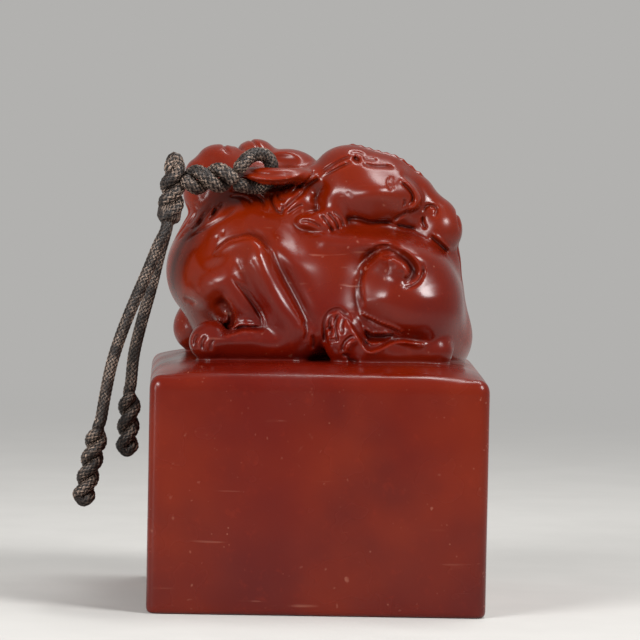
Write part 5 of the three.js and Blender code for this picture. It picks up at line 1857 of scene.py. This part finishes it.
@dataclass
class Studio:
    """Pale floor, soft lamps and a camera at the photograph's angle.

    Attributes:
        target: Place that the camera looks at, in millimetres over the table.
        distance: Its distance from there, in millimetres.
        azimuth: Its turn about the upright axis, in degrees.
        elevation: Its height over level, in degrees.
        roll: Its turn about its own axis, in degrees.
        focal_pixels: Its focal length, in pixels of the picture.
        image_pixels: Width of the picture.
        lamp_target: Place that the lamps look at, in metres.
        world_strength: Light of the surroundings.
        floor_reach: Half the side of the floor, in metres.
        fade: Distances at which the floor begins to run out into the air, and has, in metres.
    """

    target: Place = (0.457, 0.0, 42.10)
    distance: float = 760.0
    azimuth: float = -1.6
    elevation: float = 3.6
    roll: float = 1.097
    focal_pixels: float = 5022.9
    image_pixels: float = 640.0
    sensor_width: float = 36.0
    clip: Point = (0.01, 20.0)
    lamp_target: Place = (0.0, 0.0, 0.04)
    floor_colour: Colour = srgb(200, 198, 194)
    air_colour: Colour = srgb(178, 177, 175)
    sky_colour: Colour = srgb(236, 238, 240)
    world_strength: float = 0.2
    floor_reach: float = 3.0
    fade: Point = (0.1, 0.42)
    softboxes: tuple[Softbox, ...] = (
        Softbox((-0.62, -0.66, 0.42), 0.6, (0.26, 0.13), 3.0),
        Softbox((0.62, -0.48, 0.60), 0.6, (0.17, 0.17), 3.0),
        Softbox((0.25, 0.2, 0.92), 0.5, (0.3, 0.1), 1.2),
        Softbox((-0.88, -0.42, 0.02), 0.6, (0.06, 0.26), 0.7),
    )

    def camera(self) -> None:
        """Makes the camera at the photograph's angle."""
        azimuth, elevation, roll = (math.radians(v) for v in (self.azimuth, self.elevation, self.roll))
        level = math.cos(elevation)
        back = Vector((math.sin(azimuth) * level, -math.cos(azimuth) * level, math.sin(elevation)))
        flat_right = (-back).cross(Vector((0, 0, 1))).normalized()
        flat_up = flat_right.cross(-back)
        right = math.cos(roll) * flat_right + math.sin(roll) * flat_up
        up = math.cos(roll) * flat_up - math.sin(roll) * flat_right
        data = bpy.data.cameras.new("camera")
        data.sensor_width = self.sensor_width
        data.lens = self.focal_pixels / self.image_pixels * data.sensor_width
        data.clip_start, data.clip_end = self.clip
        camera = linked("camera", data)
        place = (Vector(self.target) + back * self.distance) * MM
        turn = Matrix((right, up, back)).transposed().to_4x4()
        camera.matrix_world = Matrix.Translation(place) @ turn
        bpy.context.scene.camera = camera

    def lamps(self) -> None:
        """Hangs the softboxes."""
        for number, box in enumerate(self.softboxes):
            data = bpy.data.lights.new(f"softbox_{number}", "AREA")
            data.shape = "RECTANGLE"
            data.size, data.size_y = box.size
            data.energy = box.power
            lamp = linked(data.name, data)
            towards = Vector(box.towards).normalized()
            lamp.location = Vector(self.lamp_target) + towards * box.distance
            lamp.rotation_mode = "QUATERNION"
            lamp.rotation_quaternion = towards.to_track_quat("Z", "Y")

    def seen_share(self, nodes: Nodes) -> bpy.types.NodeSocket:
        """Share that is 1 where the camera, a reflection or clear stuff looks at the surface.

        Args:
            nodes: Builder of the material's or the world's tree.

        Returns:
            The share.
        """
        path = nodes.add("ShaderNodeLightPath").outputs
        share = nodes.math("MAXIMUM", path["Is Camera Ray"], path["Is Glossy Ray"])
        return nodes.math("MAXIMUM", share, path["Is Transmission Ray"])

    def floor(self) -> None:
        """Lays the pale floor, which runs out into the pale air."""
        reach = self.floor_reach
        mesh = bpy.data.meshes.new("floor")
        corners = [(-reach, -reach, 0), (reach, -reach, 0), (reach, reach, 0), (-reach, reach, 0)]
        mesh.from_pydata(corners, [], [(0, 1, 2, 3)])
        floor = linked("floor", mesh)
        material, nodes = new_material("pale_floor")
        place = nodes.add("ShaderNodeTexCoord").outputs["Object"]
        grain = nodes.mask(nodes.noise(place, 60.0, 3.0), 0.3, 0.7, 0.98, 1.02)
        colour = nodes.mix(1.0, self.floor_colour, grain, "MULTIPLY")
        shader = nodes.add("ShaderNodeBsdfPrincipled", {
            "Base Color": colour, "Roughness": 0.9, "Specular IOR Level": 0.1,
        })
        away = nodes.add("ShaderNodeVectorMath", {0: place}, operation="LENGTH").outputs["Value"]
        share = nodes.math("MULTIPLY", nodes.mask(away, *self.fade), self.seen_share(nodes))
        air = nodes.add("ShaderNodeEmission", {"Color": self.air_colour, "Strength": 1.0})
        both = nodes.add("ShaderNodeMixShader", {0: share, 1: shader.outputs[0], 2: air.outputs[0]})
        nodes.add("ShaderNodeOutputMaterial", {"Surface": both.outputs[0]})
        mesh.materials.append(material)

    def world(self) -> None:
        """Sets the pale surroundings."""
        world = bpy.data.worlds.new("studio_air")
        world.use_nodes = True
        nodes = Nodes(world.node_tree)
        lit = {"Color": self.sky_colour, "Strength": self.world_strength}
        dim = nodes.add("ShaderNodeBackground", lit)
        seen = nodes.add("ShaderNodeBackground", {"Color": self.air_colour, "Strength": 1.0})
        share = self.seen_share(nodes)
        both = nodes.add("ShaderNodeMixShader", {0: share, 1: dim.outputs[0], 2: seen.outputs[0]})
        nodes.add("ShaderNodeOutputWorld", {"Surface": both.outputs[0]})
        bpy.context.scene.world = world

    def build(self) -> None:
        """Sets up the whole studio."""
        self.camera()
        self.lamps()
        self.floor()
        self.world()
        bpy.context.scene.view_settings.view_transform = "Standard"
        LOG.info("studio: %d softboxes", len(self.softboxes))


def main() -> None:
    """Builds the studio, the cord and the stone in order."""
    logging.basicConfig(level=logging.INFO, format="%(message)s")
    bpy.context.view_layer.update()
    Studio().build()
    SealCord().build()
    stone = SealStone().build()
    stone.data.materials.append(PolishedStone().material(HandWear()))
    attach(stone, "seal")
    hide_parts("seal_stone")
    LOG.info("%s: %d faces", stone.name, len(stone.data.polygons))


if __name__ == "__main__":
    main()
